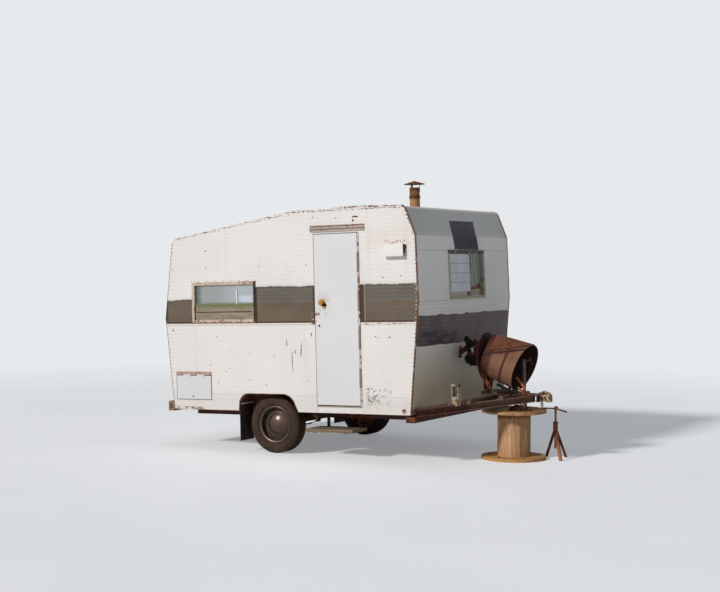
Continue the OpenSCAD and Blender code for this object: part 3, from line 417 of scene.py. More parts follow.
def chipped(name, base, chip, amount, extra=None):
    """Pale paint on thin metal, chipped to rust in dashes."""
    k = Look(name)
    fine = k.noise(26, 4, 0.62)
    broad = k.noise(2.6, 3)
    k.c = k.mix(k.step(broad, 0.35, 0.7), base, shade(base, 0.86))
    k.lay(chip, k.over(k.add(fine, k.mul(broad, 0.1)), 0.72 - 0.28 * amount, 0.02))
    k.bump(fine, 0.3, 0.0012)
    return k.paint(extra)


def timber(name, light, dark, along="z", scale=1.0, grey=0.0, extra=None):
    """Bare boards, the grain running along one axis."""
    k = Look(name, 0.8)
    v = k.stretch(*((0.08 if a == along else 1) * scale for a in "xyz"))
    grain = k.noise(55, 5, 0.62, v)
    k.c = k.mix(k.step(grain, 0.32, 0.7), dark, light)
    k.lay(shade(dark, 0.72), k.step(k.noise(7, 3, 0.5, v), 0.45, 0.75), 0.45)
    if grey:
        k.lay((142, 132, 118), k.step(k.noise(3, 4), 0.3, 0.7), grey)
    k.lay((60, 44, 32), k.step(k.noise(14, 3), 0.66, 0.72), 0.5)
    k.bump(grain, 0.5, 0.0016)
    return k.paint(extra)


def dusty(name, base, dust, amount=0.5, scale=1.0, rough=0.8):
    """Rubber or plastic with dust lying in it."""
    k = Look(name, rough)
    k.bump(k.noise(120, 3), 0.2, 0.001)
    k.c = k.laid(base, dust, k.step(k.noise(9 * scale, 5, 0.62), 0.34, 0.72), amount)
    return k.paint()


def pane_glass(name):
    """Dusty panes: beside the door a painted reflection, grey-green to pale, with a painted glare;
    clearer at the front.
    """
    k = Look(name, 0.12)
    side = k.under(k.x, 0.5)
    dust = k.step(k.noise(5, 5, 0.6, k.stretch(1, 1, 0.5)), 0.35, 0.8)
    # painted reflection beside the door: dark grey-green at the rear, pale towards the front
    k.c = k.mix(k.step(k.x, -1.04, -0.93), (70, 78, 70), (158, 164, 166))
    k.lay((196, 204, 212), k.step(k.x, -0.85, -0.45), 0.6)
    # a painted glare
    glare = k.mul(k.rect(-0.505, -0.33, 1.475, 1.56, 0.012), k.over(k.noise(11, 3), 0.42, 0.06))
    k.lay((214, 224, 240), glare, 0.8)
    # painted reflection of green low down on the panes beside the door
    grass_reflection = k.under(k.add(k.z, k.mul(k.noise(14), 0.03)), 1.508, 0.014)
    k.lay((118, 128, 92), grass_reflection, k.under(k.y, 0.0), 0.75)
    k.lay((196, 198, 190), dust, 0.25)
    front = k.laid((150, 176, 166), (206, 212, 204), dust, 0.4)
    front = k.mix(k.under(k.z, 1.572, 0.004), front, (158, 142, 112))
    k.set("Alpha", k.most(k.mul(side, 0.92), k.step(k.z, 1.568, 1.576, (0.95, 0.6))))
    k.set("Roughness", k.step(dust, 0, 1, (0.08, 0.3)))
    k.set("Specular IOR Level", 0.7)
    k.c = k.mix(side, front, k.c)
    return k.paint()


def trim_rules(k):
    """The bent edge strips: pale with chips below, dark and ragged along the roof."""
    high = k.over(k.z, 2.14, 0.05)
    rag = k.over(k.add(k.noise(30, 4, 0.65), k.mul(high, 0.05)), 0.575, 0.02)
    k.lay((74, 54, 44), rag, high, 0.9)
    worn = k.step(k.noise(20, 3), 0.38, 0.46, (0.55, 0.95))
    nose = k.over(k.x, k.sub(nose_x(k), 0.0065), 0.0015)
    k.lay((120, 84, 62), nose, k.under(k.z, 2.35), worn)
    tail = k.under(k.x, k.add(tail_x(k), 0.007), 0.0015)
    k.lay((128, 106, 92), tail, k.under(k.z, 2.12), 0.85)
    k.lay((46, 36, 32), k.under(k.x, -1.3), k.band(k.z, STRIPE_Z, 1.525), 0.92)
    k.lay((96, 66, 54), k.under(k.z, 0.4235), 0.85)


def strip_rules(k):
    lines = k.most(*(k.band(k.z, lo, hi) for lo, hi in
                     ((2.167, 2.171), (2.186, 2.191), (2.207, 2.211))))
    k.lay((112, 92, 80), lines, 0.65)


def frame_rules(k):
    """The side windows' flanges: rust dots along the top, a dark jamb at the front."""
    k.lay((146, 92, 58), k.over(k.z, 1.676), k.over(k.noise(44, 2), 0.56, 0.03), 0.9)
    k.lay((36, 24, 20), k.over(k.x, -0.319), 0.96)
    k.lay((62, 46, 36), k.rect(-1.043, -1.03, 1.3, 1.46), 0.85)
    k.lay((150, 104, 74), k.under(k.z, 1.306), k.over(k.noise(30, 3), 0.5, 0.05), 0.7)


def front_frame_rules(k):
    k.lay((70, 60, 50), k.over(k.z, 1.922), 0.95)
    k.lay((214, 204, 184), k.over(k.noise(26, 3), 0.64, 0.03), 0.5)


def drum_rules(k):
    """Pale rust on the drum's side; near its closed end a painted shadow of the trailer, dark
    red-brown, and painted shade on the upright plate, near-black with orange patches towards its
    foot. A painted shadow lies as a dark line under the lid's edge."""
    # painted shadow: a dark line under the lid's edge
    gap = k.sub(k.z, k.mul(k.sub(k.x, 2.115), 0.105))
    gap = k.mul(k.band(gap, 0.969, 0.992, 0.003), k.over(k.x, 1.79))
    low = k.mul(k.under(k.z, 0.8, 0.04), k.over(k.noise(9, 4), 0.48, 0.06))
    tone = k.mix(k.step(k.noise(3.2, 3), 0.38, 0.62), (152, 114, 84), (116, 80, 68))
    along = k.add(k.mul(k.sub(k.x, DRUM_AT[0]), 0.905), k.mul(k.add(k.y, -DRUM_AT[1]), 0.202),
                  k.mul(k.sub(k.z, DRUM_AT[2]), -0.375))
    # painted shadow of the trailer on the tub near its closed end
    rear = k.under(k.add(along, k.mul(k.sub(k.noise(7, 3), 0.5), 0.05)), 0.088, 0.018)
    k.lay(tone, 0.5)
    k.lay(k.mix(k.noise(16, 4), (52, 26, 28), (96, 52, 44)), rear, 0.92)
    # painted shade on the upright plate: near-black, orange in patches towards its foot
    dark = k.mix(low, k.mix(k.noise(20, 4), (46, 26, 30), (86, 46, 44)), (158, 84, 44))
    k.lay((50, 26, 24), gap, 0.85)
    k.lay(dark, k.band(k.x, 1.741, 1.759, 0.0006))


def lid_rules(k):
    k.lay((84, 48, 34), k.over(k.noise(34, 5, 0.7), 0.62, 0.04), 0.6)


def pipe_rules(k):
    k.lay((186, 142, 92), k.under(k.z, 2.475, 0.01), 0.75)
    k.lay((84, 52, 40), k.band(k.z, 2.482, 2.512, 0.003), 0.85)
    k.lay((98, 58, 48), k.over(k.z, 2.575), 0.7)


def beam_rules(k):
    k.lay((84, 64, 52), k.over(k.noise(12, 4), 0.55, 0.05), 0.7)


def coupler_rules(k):
    k.lay((196, 176, 146), k.over(k.x, 2.27, 0.01), k.over(k.noise(44, 3), 0.5, 0.03), 0.85)


def flange_rules(k):
    """Board joints across the reel, a dark worn patch on the top's rear half."""
    f = k.math("FRACT", k.math("DIVIDE", k.add(k.y, 0.312), 0.0892))
    k.lay((58, 40, 26), k.over(f, 0.955, 0.01), 0.8)
    half = k.under(k.add(k.x, k.mul(k.noise(9), 0.1)), 2.03, 0.04)
    k.lay((62, 46, 36), k.over(k.z, 0.396), half, k.over(k.noise(7, 4), 0.34, 0.08), 0.8)
    k.lay((196, 148, 84), k.under(k.z, 0.1), 0.5)


def stave_rules(k):
    top = k.add(k.z, k.mul(k.noise(40, 2, 0.5, k.stretch(1, 1, 0.2)), 0.06))
    k.lay((112, 76, 44), k.over(top, 0.352, 0.012), k.over(k.noise(48, 3), 0.4, 0.05), 0.85)
    k.lay((150, 112, 74), k.over(k.x, 2.06, 0.06), 0.35)


def board_rules(k):
    """Green along the top of the upper board."""
    k.lay((112, 122, 84), k.step(k.add(k.z, k.mul(k.noise(16), 0.03)), 1.44, 1.476), 0.85)


def stand_rules(k):
    """The legs differ: one orange, one tan, one dark."""
    k.lay((80, 62, 56), k.over(k.x, 2.475, 0.015), k.under(k.z, 0.24, 0.04), 0.75)
    k.lay((176, 130, 96), k.band(k.x, 2.395, 2.47, 0.012), k.under(k.z, 0.22, 0.05), 0.6)
    k.lay((176, 138, 100), k.over(k.z, 0.385), k.under(k.x, 2.4, 0.02), 0.6)


def arm_rules(k):
    # ahead of x 1.83 the arms are weathered grey-brown; the darker red-brown behind is partly
    # rust, partly painted shade
    far = k.over(k.add(k.x, k.mul(k.noise(6), 0.1)), 1.83, 0.03)
    k.lay((128, 104, 86), far, k.over(k.noise(15, 4), 0.36, 0.08), 0.75)


def well_rules(k):
    k.lay((138, 84, 54), k.under(k.x, -0.3, 0.06), 0.6)


DRUM_AT = (1.7621, -0.0789, 0.9461)     # middle of the drum's closed end
SIDE = side_paint("side_paint", "near")
FAR = side_paint("far_paint", "far")
REAR = side_paint("rear_paint", "rear")
FRONT = front_paint("front_paint")
PLAIN = plain_paint("plain_paint", WHITE, 0.5)
ROOF = plain_paint("roof_paint", (232, 230, 226), 0.4, True)
TRIM = chipped("trim_paint", (236, 222, 212), (132, 88, 62), 0.35, trim_rules)
HATCH_STRIP = chipped("hatch_strip", (190, 164, 148), (156, 124, 104), 0.3)
FRONT_FRAME = chipped("front_frame", (184, 176, 160), (124, 100, 80), 0.32, front_frame_rules)
IRON = rusty("chassis_iron", (72, 48, 44), 0.4)
BROWN = rusty("red_iron", (84, 42, 40), 0.35)
DRUM = rusty("drum_rust_and_painted_shade", (136, 100, 78), 0.3, scale=0.9, extra=drum_rules)
LINER = rusty("drum_inside", (46, 24, 23), 0.15)
LIP = rusty("lip_rust", (132, 104, 86), 0.42, scale=1.5)
STRUT = rusty("strut_rust", (172, 98, 58), 0.45, scale=1.6)
GALV = rusty("dull_galvanised", (170, 156, 134), 0.35, 0.15)
HEAD = rusty("coupler_iron", (96, 74, 64), 0.5, extra=coupler_rules)
BRASS = rusty("worn_brass", (196, 152, 84), 0.12, 0.65)
CAP = rusty("hubcap_dull", (98, 82, 73), 0.05, 0.7, rough=(0.26, 0.4))
STEPW = timber("step_wood", (154, 134, 112), (104, 86, 70), "x", 1.0, 0.5)
TYRE = dusty("tyre_rubber", (60, 45, 39), (82, 62, 52), 0.8)
BLACK = dusty("black_and_painted_shade", (34, 28, 26), (22, 18, 16), 0.9)
MARK = dusty("worn_mark", (92, 72, 60), (52, 40, 36), 0.9, 3)
PALE_MARK = dusty("faint_mark", (186, 172, 164), (150, 136, 128), 0.9, 3)

# nodes with their looks; those that no piece of this script wears are made here
NODE_LOOK = {
    "side_wall_rear side_wall_front side_wall_header": SIDE, "far_side_wall": FAR,
    "rear_wall_upper rear_wall_lower": REAR,
    "front_wall_lower front_wall_upper roof_front": FRONT, "door_sill vent_hood": PLAIN,
    "roof_rear": ROOF, "edge_trims": TRIM, "hatch_hinge": HATCH_STRIP,
    "front_window_frame": FRONT_FRAME,
    "chassis_rails axle leaf_springs step_brackets drum_cradle": IRON, "drum_arm": BROWN,
    "drum_shell": DRUM, "safety_chain": GALV, "coupler": HEAD, "door_knob": BRASS,
    "hubcap_near hubcap_far": CAP, "step_board": STEPW, "tyre_near tyre_far": TYRE,
    "door_leaf": door_paint("door_paint"),
    "hatch_door": hatch_paint("hatch_paint"),
    "window_panes": pane_glass("pane"),
    "drip_rail": chipped("strip_paint", (208, 190, 178), (150, 118, 98), 0.24, strip_rules),
    "door_hinge": chipped("hinge_paint", (236, 222, 214), (134, 96, 70), 0.4),
    "door_latch door_staple": chipped("latch_paint", (186, 164, 148), (104, 74, 60), 0.5),
    "side_window_frames": chipped("side_frame", (214, 194, 178), (150, 108, 80), 0.3, frame_rules),
    "tow_arms": rusty("tow_iron", (96, 62, 56), 0.38, extra=arm_rules),
    "wheel_wells": rusty("well_rust", (88, 56, 42), 0.4, extra=well_rules),
    "stove_pipe": rusty("flue_rust", (138, 104, 82), 0.48, scale=1.6, extra=pipe_rules),
    "pipe_cap": rusty("cap_rust", (104, 62, 50), 0.5, scale=1.6),
    "drum_lid": rusty("lid_rust", (120, 74, 54), 0.4, scale=1.1, extra=lid_rules),
    "rear_bumper": rusty("bumper_rust", (142, 118, 98), 0.22, scale=1.4, chips=(76, 58, 48)),
    "arm_bracket": rusty("pale_bracket", (176, 158, 134), 0.25, chips=(70, 48, 42), scale=2.2),
    "tongue_jack": rusty("pale_iron", (120, 110, 106), 0.34, 0.15),
    "jack_stand": rusty("stand_rust", (150, 84, 52), 0.48, scale=1.6, extra=stand_rules),
    "rim_near": rusty("wheel_paint", (84, 70, 62), 0.25, 0.25),
    "rim_far": rusty("far_wheel_paint", (150, 84, 70), 0.35),
    "reel_staves": timber("reel_wood", (214, 174, 138), (178, 134, 96), extra=stave_rules),
    "reel_flanges":
        timber("flange_wood", (208, 166, 120), (160, 118, 78), "x", 0.9, extra=flange_rules),
    "side_window_boards":
        timber("grey_boards", (178, 164, 142), (140, 124, 104), "x", 1.0, 0.4, board_rules),
    "cross_bars": timber("tow_timber", (132, 108, 90), (84, 62, 52), "y", 1.0, 0.3, beam_rules),
    "floor_panel": timber("plywood", (160, 128, 92), (118, 88, 60), "x", 0.6),
    "mud_flaps": dusty("flap_rubber", (44, 34, 38), (84, 66, 62), 0.6),
    "front_window_blind": dusty("blind_panels", (228, 232, 236), (204, 206, 208), 0.7, rough=0.7),
    "roof_vent": dusty("vent_lid", (232, 232, 228), (204, 198, 190), 0.5, rough=0.5),
}
for nodes, look in NODE_LOOK.items():
    for node in nodes.split():
        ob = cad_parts[node]
        ob.data.materials.clear()
        ob.data.materials.append(look)


def spin(r, t):
    """A point on a circle about the origin."""
    return r * cos(t), r * sin(t)


def hoops(n, total):
    """Faces between rings of n points; total counts the points of all rings."""
    return [(i + k, i + (k + 1) % n, i + n + (k + 1) % n, i + n + k)
            for i in range(0, total - n, n) for k in range(n)]


def in_plane(p):
    """A point of the outline, in the trailer's middle plane."""
    return Vector((p[0], 0, p[1]))


# faces of a box, for corners in the order of x, y and z, and for corners that go round
SORTED = [(0, 2, 3, 1), (4, 5, 7, 6), (0, 1, 5, 4), (2, 6, 7, 3), (0, 4, 6, 2), (1, 3, 7, 5)]
ROUND = [(3, 2, 1, 0), (4, 5, 6, 7), (0, 1, 5, 4), (1, 2, 6, 5), (2, 3, 7, 6), (3, 0, 4, 7)]


def linked(name, data):
    """A new object of the scene."""
    ob = bpy.data.objects.new(name, data)
    bpy.context.collection.objects.link(ob)
    return ob


class Build:
    """Collects simple solids into one mesh; t places what is added."""

    def __init__(self, t=None):
        self.v, self.f, self.t = [], [], t or Matrix.Identity(4)

    def add(self, verts, faces):
        n = len(self.v)
        self.v += [tuple(self.t @ Vector(v)) for v in verts]
        self.f += [tuple(i + n for i in f) for f in faces]
        return self

    def box(self, lo, hi):
        xs, ys, zs = zip(lo, hi)
        return self.add([(x, y, z) for z in zs for y in ys for x in xs], SORTED)

    def bar(self, p, q, w, h, up=UPWARD):
        """A flat bar from p to q."""
        p, q = Vector(p), Vector(q)
        d = (q - p).normalized()
        a = d.cross(Vector(up)).normalized()
        b = a.cross(d)
        return self.add([e + a * i * w / 2 + b * j * h / 2 for e in (p, q)
                         for i, j in ((-1, -1), (1, -1), (1, 1), (-1, 1))], ROUND)

    def lathe(self, profile, centre, axis, n=24, closed=True):
        """A profile of (radius, height) turned about an axis through centre."""
        axis = Vector(axis).normalized()
        a = axis.orthogonal().normalized()
        b = axis.cross(a)
        turns = [a * cos(tau * k / n) + b * sin(tau * k / n)
                 for k in range(n)]
        v = [Vector(centre) + axis * h + t * r for r, h in profile for t in turns]
        f = hoops(n, len(v))
        if closed:
            f += [tuple(range(n))[::-1], tuple(range(len(v) - n, len(v)))]
        return self.add(v, f)

    def head(self, at, axis, r, h, n=8):
        """The head of a screw or nail, with a slight taper."""
        return self.lathe([(r, 0), (r - 0.001, h)], at, axis, n)

    def ring(self, centre, normal, big, small, squeeze, n=12, m=6):
        """A round link; squeeze narrows it across."""
        normal = Vector(normal).normalized()
        a = normal.orthogonal().normalized()
        b = normal.cross(a)
        v = []
        for i in range(n):
            t = tau * i / n
            d = a * cos(t) + b * sin(t)
            c = Vector(centre) + a * cos(t) * big + b * sin(t) * big * squeeze
            for j in range(m):
                u = tau * j / m
                v.append(c + (d * cos(u) + normal * sin(u)) * small)
        return self.add(v, [(i * m + j, (i + 1) % n * m + j, (i + 1) % n * m + (j + 1) % m,
                             i * m + (j + 1) % m) for i in range(n) for j in range(m)])

    def spot(self, x, z, w, h, lean=0.0, y=MARK_Y, n=8):
        """A small flat mark on the door side, a little ragged."""
        c, s = cos(lean), sin(lean)
        pts = []
        for k in range(n):
            t = tau * k / n
            r = 1.0 + 0.22 * sin(k * 2.4 + x * 40)
            a, b = cos(t) * w / 2 * r, sin(t) * h / 2 * r
            pts.append((x + a * c - b * s, y, z + a * s + b * c))
        return self.add(pts, [tuple(range(n))])

    def done(self, name, look, slot="skin", body="hut", smooth=False, tipped=True):
        """The mesh as a piece on a body; what isn't tipped is in the part's frame already."""
        me = bpy.data.meshes.new(name)
        t = PLACE if tipped else Matrix.Identity(4)
        me.from_pydata([t @ Vector(v) for v in self.v], [], self.f)
        me.materials.append(look)
        me.validate()
        if smooth:
            me.polygons.foreach_set("use_smooth", [True] * len(me.polygons))
        ob = linked(name, me)
        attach(ob, body)
        return ob


# the ribbed outer skin: how far its ribs and its grooves stand out from the wall
PROUD, GROOVE = 0.0032, 0.0021
INSET = 0.004           # how far the skin's edges lie inside the edge strips
HOLES = [(-1.07, -0.29, 1.294, 1.7), (-1.293, -0.85, 0.515, 0.765), (0.39, 0.889, 0.4, 2.138)]


def side_spans(z, holes):
    """The stretches of skin at height z."""
    lim = crossing(RIM, z)
    if not lim:
        return []
    spans = [(lim[0] + INSET, lim[1] - INSET)]
    cuts = [(a, b) for a, b, z0, z1 in holes if z0 < z < z1]
    gap = crossing(ARCH, z)
    if gap:
        cuts.append((gap[0] - 0.002, gap[1] + 0.002))
    for a, b in sorted(cuts):
        s = spans.pop()
        if a > s[0]:
            spans.append((s[0], a))
        spans.append((b, s[1]))
    return spans


def rib_levels(z0, z1, stops):
    """Heights with their depth across the ribs, with the stops put in."""
    out = []
    z = z0
    while z < z1:
        out += [(z, PROUD), (z + RIB * 0.8, PROUD), (z + RIB * 0.86, GROOVE),
                (z + RIB * 0.94, GROOVE)]
        z += RIB
    out = [q for q in out if q[0] < z1]
    for s in stops:
        if z0 < s < z1:
            out += [(s - 1e-4, PROUD), (s + 1e-4, PROUD)]
    return sorted(out + [(z1, PROUD)])


def side_skin(name, y, out, look, holes):
    b = Build()
    stops = ({z for h in holes for z in h[2:]} | {0.586, ROOF_Z}
             | {p[1] for p in ARCH if p[1] > 0.42})
    lv = rib_levels(RIB_Z, ROOF_Z - 0.0005, stops)
    for (za, da), (zb, db) in zip(lv, lv[1:]):
        if zb - za < 3e-4:
            continue
        sa, sb = side_spans(za + 1.5e-4, holes), side_spans(zb - 1.5e-4, holes)
        if len(sa) != len(sb):
            sa = sb = side_spans((za + zb) / 2, holes)
        for p, q in zip(sa, sb):
            v = [(p[0], y + out * da, za), (p[1], y + out * da, za),
                 (q[1], y + out * db, zb), (q[0], y + out * db, zb)]
            b.add(v, [(0, 1, 2, 3) if out < 0 else (3, 2, 1, 0)])
    b.done(name, look)


side_skin("side_skin", SIDE_Y, -1, SIDE, HOLES)
side_skin("far_skin", HW, 1, FAR, HOLES[:1])


def end_skin(name, p, q, look, hole=None, seam=None):
    """Skin on an end wall, edge to edge; p is its lower edge. It is ribbed without a seam."""
    p, q = in_plane(p), in_plane(q)
    d = (q - p).normalized()
    n = Vector((d[2], 0, -d[0])) * (-1 if p[0] < 0 else 1)
    length = (q - p).length
    b = Build()
    stops = hole[2:] if hole else ()
    if seam:
        marks = {0.0, length, *stops, seam - 0.004, seam - 0.001, seam + 0.001, seam + 0.004}
        lv = [(m, GROOVE if abs(m - seam) < 0.002 else PROUD) for m in sorted(marks)]
    else:
        lv = rib_levels(0.0, length, stops)
    for (za, da), (zb, db) in zip(lv, lv[1:]):
        if zb - za < 5e-4:
            continue
        spans = [(-HW + INSET, HW - INSET)]
        if hole and hole[2] < (za + zb) / 2 < hole[3]:
            spans = [(-HW + INSET, hole[0]), (hole[1], HW - INSET)]
        for y0, y1 in spans:
            v = [p + d * z + n * (out * 0.9) + Vector((0, y, 0)) for y, z, out in
                 ((y0, za, da), (y1, za, da), (y1, zb, db), (y0, zb, db))]
            b.add(v, [(0, 1, 2, 3)] if p[0] > 0 else [(3, 2, 1, 0)])
    b.done(name, look)


end_skin("front_skin_lower", OUTLINE[1], OUTLINE[2], FRONT)
end_skin("front_skin_upper", OUTLINE[2], OUTLINE[3], FRONT, (-0.3655, 0.4295, 0.006, 0.482), 0.484)
end_skin("rear_skin_lower", OUTLINE[0], OUTLINE[7], REAR)
end_skin("rear_skin_upper", OUTLINE[7], RIM[-2], REAR)


# marks on the door side: places, sizes and, for the scratches over the wheel, a lean
SPOTS = [(-0.889, 2.015, 0.018, 0.014), (-0.889, 1.844, 0.014, 0.012),
         (-1.306, 1.84, 0.014, 0.012), (1.15, 1.702, 0.022, 0.01), (1.342, 1.716, 0.02, 0.01),
         (0.392, 2.297, 0.014, 0.014), (0.649, 2.28, 0.012, 0.014), (-0.25, 1.843, 0.012, 0.012),
         (0.302, 1.842, 0.012, 0.014), (-1.318, 1.219, 0.01, 0.04), (0.863, 2.285, 0.07, 0.016),
         (0.84, 2.25, 0.018, 0.03), (0.345, 1.172, 0.01, 0.044), (-0.764, 0.699, 0.014, 0.01),
         (-0.387, 0.724, 0.014, 0.01), (-0.625, 0.84, 0.012, 0.008), (-0.186, 0.677, 0.014, 0.01),
         (0.292, 0.723, 0.012, 0.01), (1.313, 1.407, 0.03, 0.01), (1.206, 1.143, 0.02, 0.014),
         (1.055, 1.15, 0.016, 0.012)]
SCRATCHES = [(0.061, 1.09, 0.008, 0.07, 0.1), (0.225, 1.02, 0.009, 0.15, -0.08),
             (0.121, 0.91, 0.008, 0.22, 0.03), (0.157, 1.003, 0.008, 0.05, 0.3)]
dark, faint = Build(), Build()
for mark in SPOTS + SCRATCHES:
    dark.spot(*mark)
random.seed(11)
for i in range(26):
    x, z = 0.96 + random.random() ** 1.4 * 0.26, 0.5 + random.random() * 0.16
    (faint if i % 3 else dark).spot(x, z, between(0.006, 0.03),
                                    between(0.005, 0.014), between(-0.6, 0.9))
for i in range(16):
    dark.spot(0.95 + random.random() * 0.42, 1.268 + between(-0.012, 0.01),
              between(0.008, 0.026), between(0.004, 0.008))
for i in range(14):
    faint.spot(between(-1.2, 1.3), between(0.52, 1.22),
               between(0.008, 0.03), between(0.005, 0.01),
               between(-0.3, 0.3))
dark.done("side_marks", MARK)
faint.done("faint_marks", PALE_MARK)

# screws and chips along the roof's edges
random.seed(5)
chips, heads = Build(), Build()
loop = [Vector(OUTLINE[i]) for i in (1, 2, 3, 4, 5, 6, 7, 0)]
for p, q in zip(loop, loop[1:] + loop[:1]):
    if min(p[1], q[1]) <= 2.0:
        continue
    d = q - p
    n = Vector((-d[1], d[0])).normalized()
    steps, many = int(d.length / 0.098), int(d.length * 26)
    for k in range(1, steps):
        c = p + d * k / steps + n * 0.0095
        for s in (-1, 1):
            heads.lathe([(0.0045, 0), (0.004, 0.001), (0.002, 0.0014)],
                        (c[0], -s * STRIP_Y, c[1]), (0, s, 0), 8)
    for k in range(many):
        c = p + d * (k + random.random()) / many + n * between(0.003, 0.021)
        w, h = between(0.008, 0.028), between(0.004, 0.009)
        on_strip = (c - p).dot(n) < 0.019
        chips.spot(c[0], c[1], w, h, atan2(d[1], d[0]),
                   STRIP_Y - 0.0004 if on_strip else MARK_Y, 6)
chips.done("edge_chips", MARK)
heads.done("edge_screws", TRIM)

# brown lips of the wheel arches
FOOT = 0.421
MIDDLE = Vector((-0.17, 0.3))
inner = [Vector(p) for p in [(0.1675, FOOT), *(p for p in ARCH if p[1] > FOOT), (-0.5165, FOOT)]]
outer = [p + (p - MIDDLE).normalized() * 0.009 for p in inner]
n = len(inner)
for s, side in ((-1, "near"), (1, "far")):
    v = [(p[0], s * y, max(p[1], FOOT)) for path, y in
         ((inner, HW), (inner, 1.0205), (outer, 1.0205), (outer, HW)) for p in path]
    f = [(j * n + i, j * n + i + 1, (j + 1) % 4 * n + i + 1, (j + 1) % 4 * n + i)
         for j in range(4) for i in range(n - 1)]
    Build().add(v, f).done("arch_lip_" + side, LIP)

# pale strap at the top of the near flap
Build().box((-0.526, -1, 0.48), (-0.51, -0.79, 0.491)).done("flap_strap", PLAIN)

# door: lock plate, the knob's painted shadow below and right of it, the keyhole under it, kick
# strip and screws
for name, look, x, z, profile, n in (
        ("lock_rose", BRASS, 0.479, 1.479, [(0.034, 0), (0.034, 0.002), (0.028, 0.005)], 24),
        ("lock_shade", BLACK, 0.502, 1.452, [(0.02, 0), (0.024, 0.004), (0.014, 0.009)], 14),
        ("lock_holes", BLACK, 0.44, 1.255, [(0.011, 0), (0.011, 0.0015)], 14)):
    Build().lathe(profile, (x, LEAF_Y, z), OUTWARD, n).done(name, look, "door", "door")
Build().box((0.4, -1.0216, 0.486), (0.882, -1.0198, 0.497)).done("door_kick", MARK, "door", "door")
b = Build()
for z in (0.6, 1.3, 2.05):
    for x in (0.408, 0.868):
        b.head((x, LEAF_Y, z), OUTWARD, 0.004, 0.001)
b.done("door_screws", BROWN, "door", "door")

# marker lamp's bare disc, the row of dots over the hood, and painted shade: darker plates on the
# hood's front end and underside
b = Build()
b.lathe([(0.022, 0), (0.022, 0.004), (0.017, 0.006)], (1.345, STRIP_Y, 0.455), OUTWARD, 20)
b.done("marker_disc", GALV)
b = Build()
random.seed(8)
for i in range(11):
    b.spot(1.19 + i * 0.0195 + between(-0.005, 0.005), 2.03 + between(-0.009, 0.013),
           between(0.01, 0.02), between(0.008, 0.015), between(-0.5, 0.5))
b.spot(1.404, 1.985, 0.016, 0.05).done("hood_dots", LIP)
# painted shade: darker plates on the hood's front end and underside
b = Build().box((1.3935, -1.064, 1.896), (1.3955, STRIP_Y, 2.006))
b.box((1.19, -1.064, 1.8945), (1.392, STRIP_Y, 1.896)).done("hood_shade_plates", FRONT_FRAME)

# the windows: sash bars, and the front one's screws and what lies on its sill
Build().box((-0.531, -1.012, 1.474), (-0.519, -1.0015, 1.61)).done("side_sash", PLAIN)
SILL = in_plane(OUTLINE[2])
UP = (in_plane(OUTLINE[3]) - SILL).normalized()
OUT = Vector((UP[2], 0, -UP[0]))


def on_front(y, h, out):
    """A point on the upper front wall: h up from its lower edge, out from its face."""
    return SILL + UP * h + OUT * out + Vector((0, y, 0))


def front_box(b, ys, hs, outs):
    b.add([on_front(y, h, out) for out in outs for h in hs for y in ys], SORTED)


b = Build()
for ys in ((0.105, 0.117), (0.145, 0.15), (0.2, 0.205), (0.262, 0.267), (0.33, 0.335)):
    front_box(b, ys, (0.045, 0.44), (-0.013, -0.008))
b.done("front_sash", GALV)
b = Build()
random.seed(4)
for i in range(9):
    y = 0.12 + i * 0.028
    front_box(b, (y, y + 0.014), (0.098, 0.106 + random.random() * 0.045), (-0.016, -0.012))
b.done("front_sill_bits", STRUT)
b = Build()
for i in range(9):
    for h in (0.018, 0.47):
        b.head(on_front(i * 0.0955 - 0.35, h, 0.0075), OUT, 0.004, 0.0012)
b.done("front_frame_screws", BROWN)

# roof: seams and screws
for name, i in (("roof_seams_front", 4), ("roof_seams_rear", 5)):
    p, q = in_plane(OUTLINE[i]), in_plane(OUTLINE[i + 1])
    d = (q - p).normalized()
    n = Vector((d[2], 0, -d[0]))
    b = Build()
    for y in (-0.62, -0.31, 0.31, 0.62):
        side = Vector((0, y, 0)) + n * 0.001
        b.bar(p + d * 0.075 + side, q - d * 0.075 + side, 0.016, 0.005, n)
    b.done(name, ROOF, "roof")
b = Build()
for s in (-1, 1):
    for i in range(26):
        x = i * 0.1 - 1.18
        z = ROOF_Z + min(0.0, x - RIDGE_X) * FALL
        b.head((x, s * 0.985, z + 0.0002), UPWARD, 0.006, 0.0015)
b.done("roof_screws", BROWN, "roof")

# wheels: tyres with tread blocks, bright rings, the rims' slots as black patches of painted shade,
# and a valve
SIDEWALL = [(0.1785, 0.06), (0.188, 0.062), (0.196, 0.074), (0.205, 0.0785), (0.207, 0.0805),
            (0.21, 0.0805), (0.212, 0.0795), (0.234, 0.0815), (0.236, 0.0825), (0.239, 0.0825),
            (0.241, 0.0808), (0.255, 0.0785), (0.262, 0.0745), (0.269, 0.0695), (0.2765, 0.066)]
LANES = [(-0.064, -0.044), (-0.039, -0.016), (-0.011, 0.011), (0.016, 0.039), (0.044, 0.064)]
RIM_RING = [(0.16, 0.06), (0.177, 0.064), (0.186, 0.0655), (0.186, 0.068), (0.1765, 0.069),
            (0.17, 0.0655), (0.16, 0.0625), (0.16, 0.06)]
CAP_RING = [(0.108, 0.025), (0.118, 0.0285), (0.12, 0.0265), (0.12, 0.024)]
HUB = AXLE + SHIFT
WHEEL_Y = 0.8645        # middle of a wheel
STEPS = 96              # corners round a tyre
BLOCKS = 64             # tread blocks in a lane


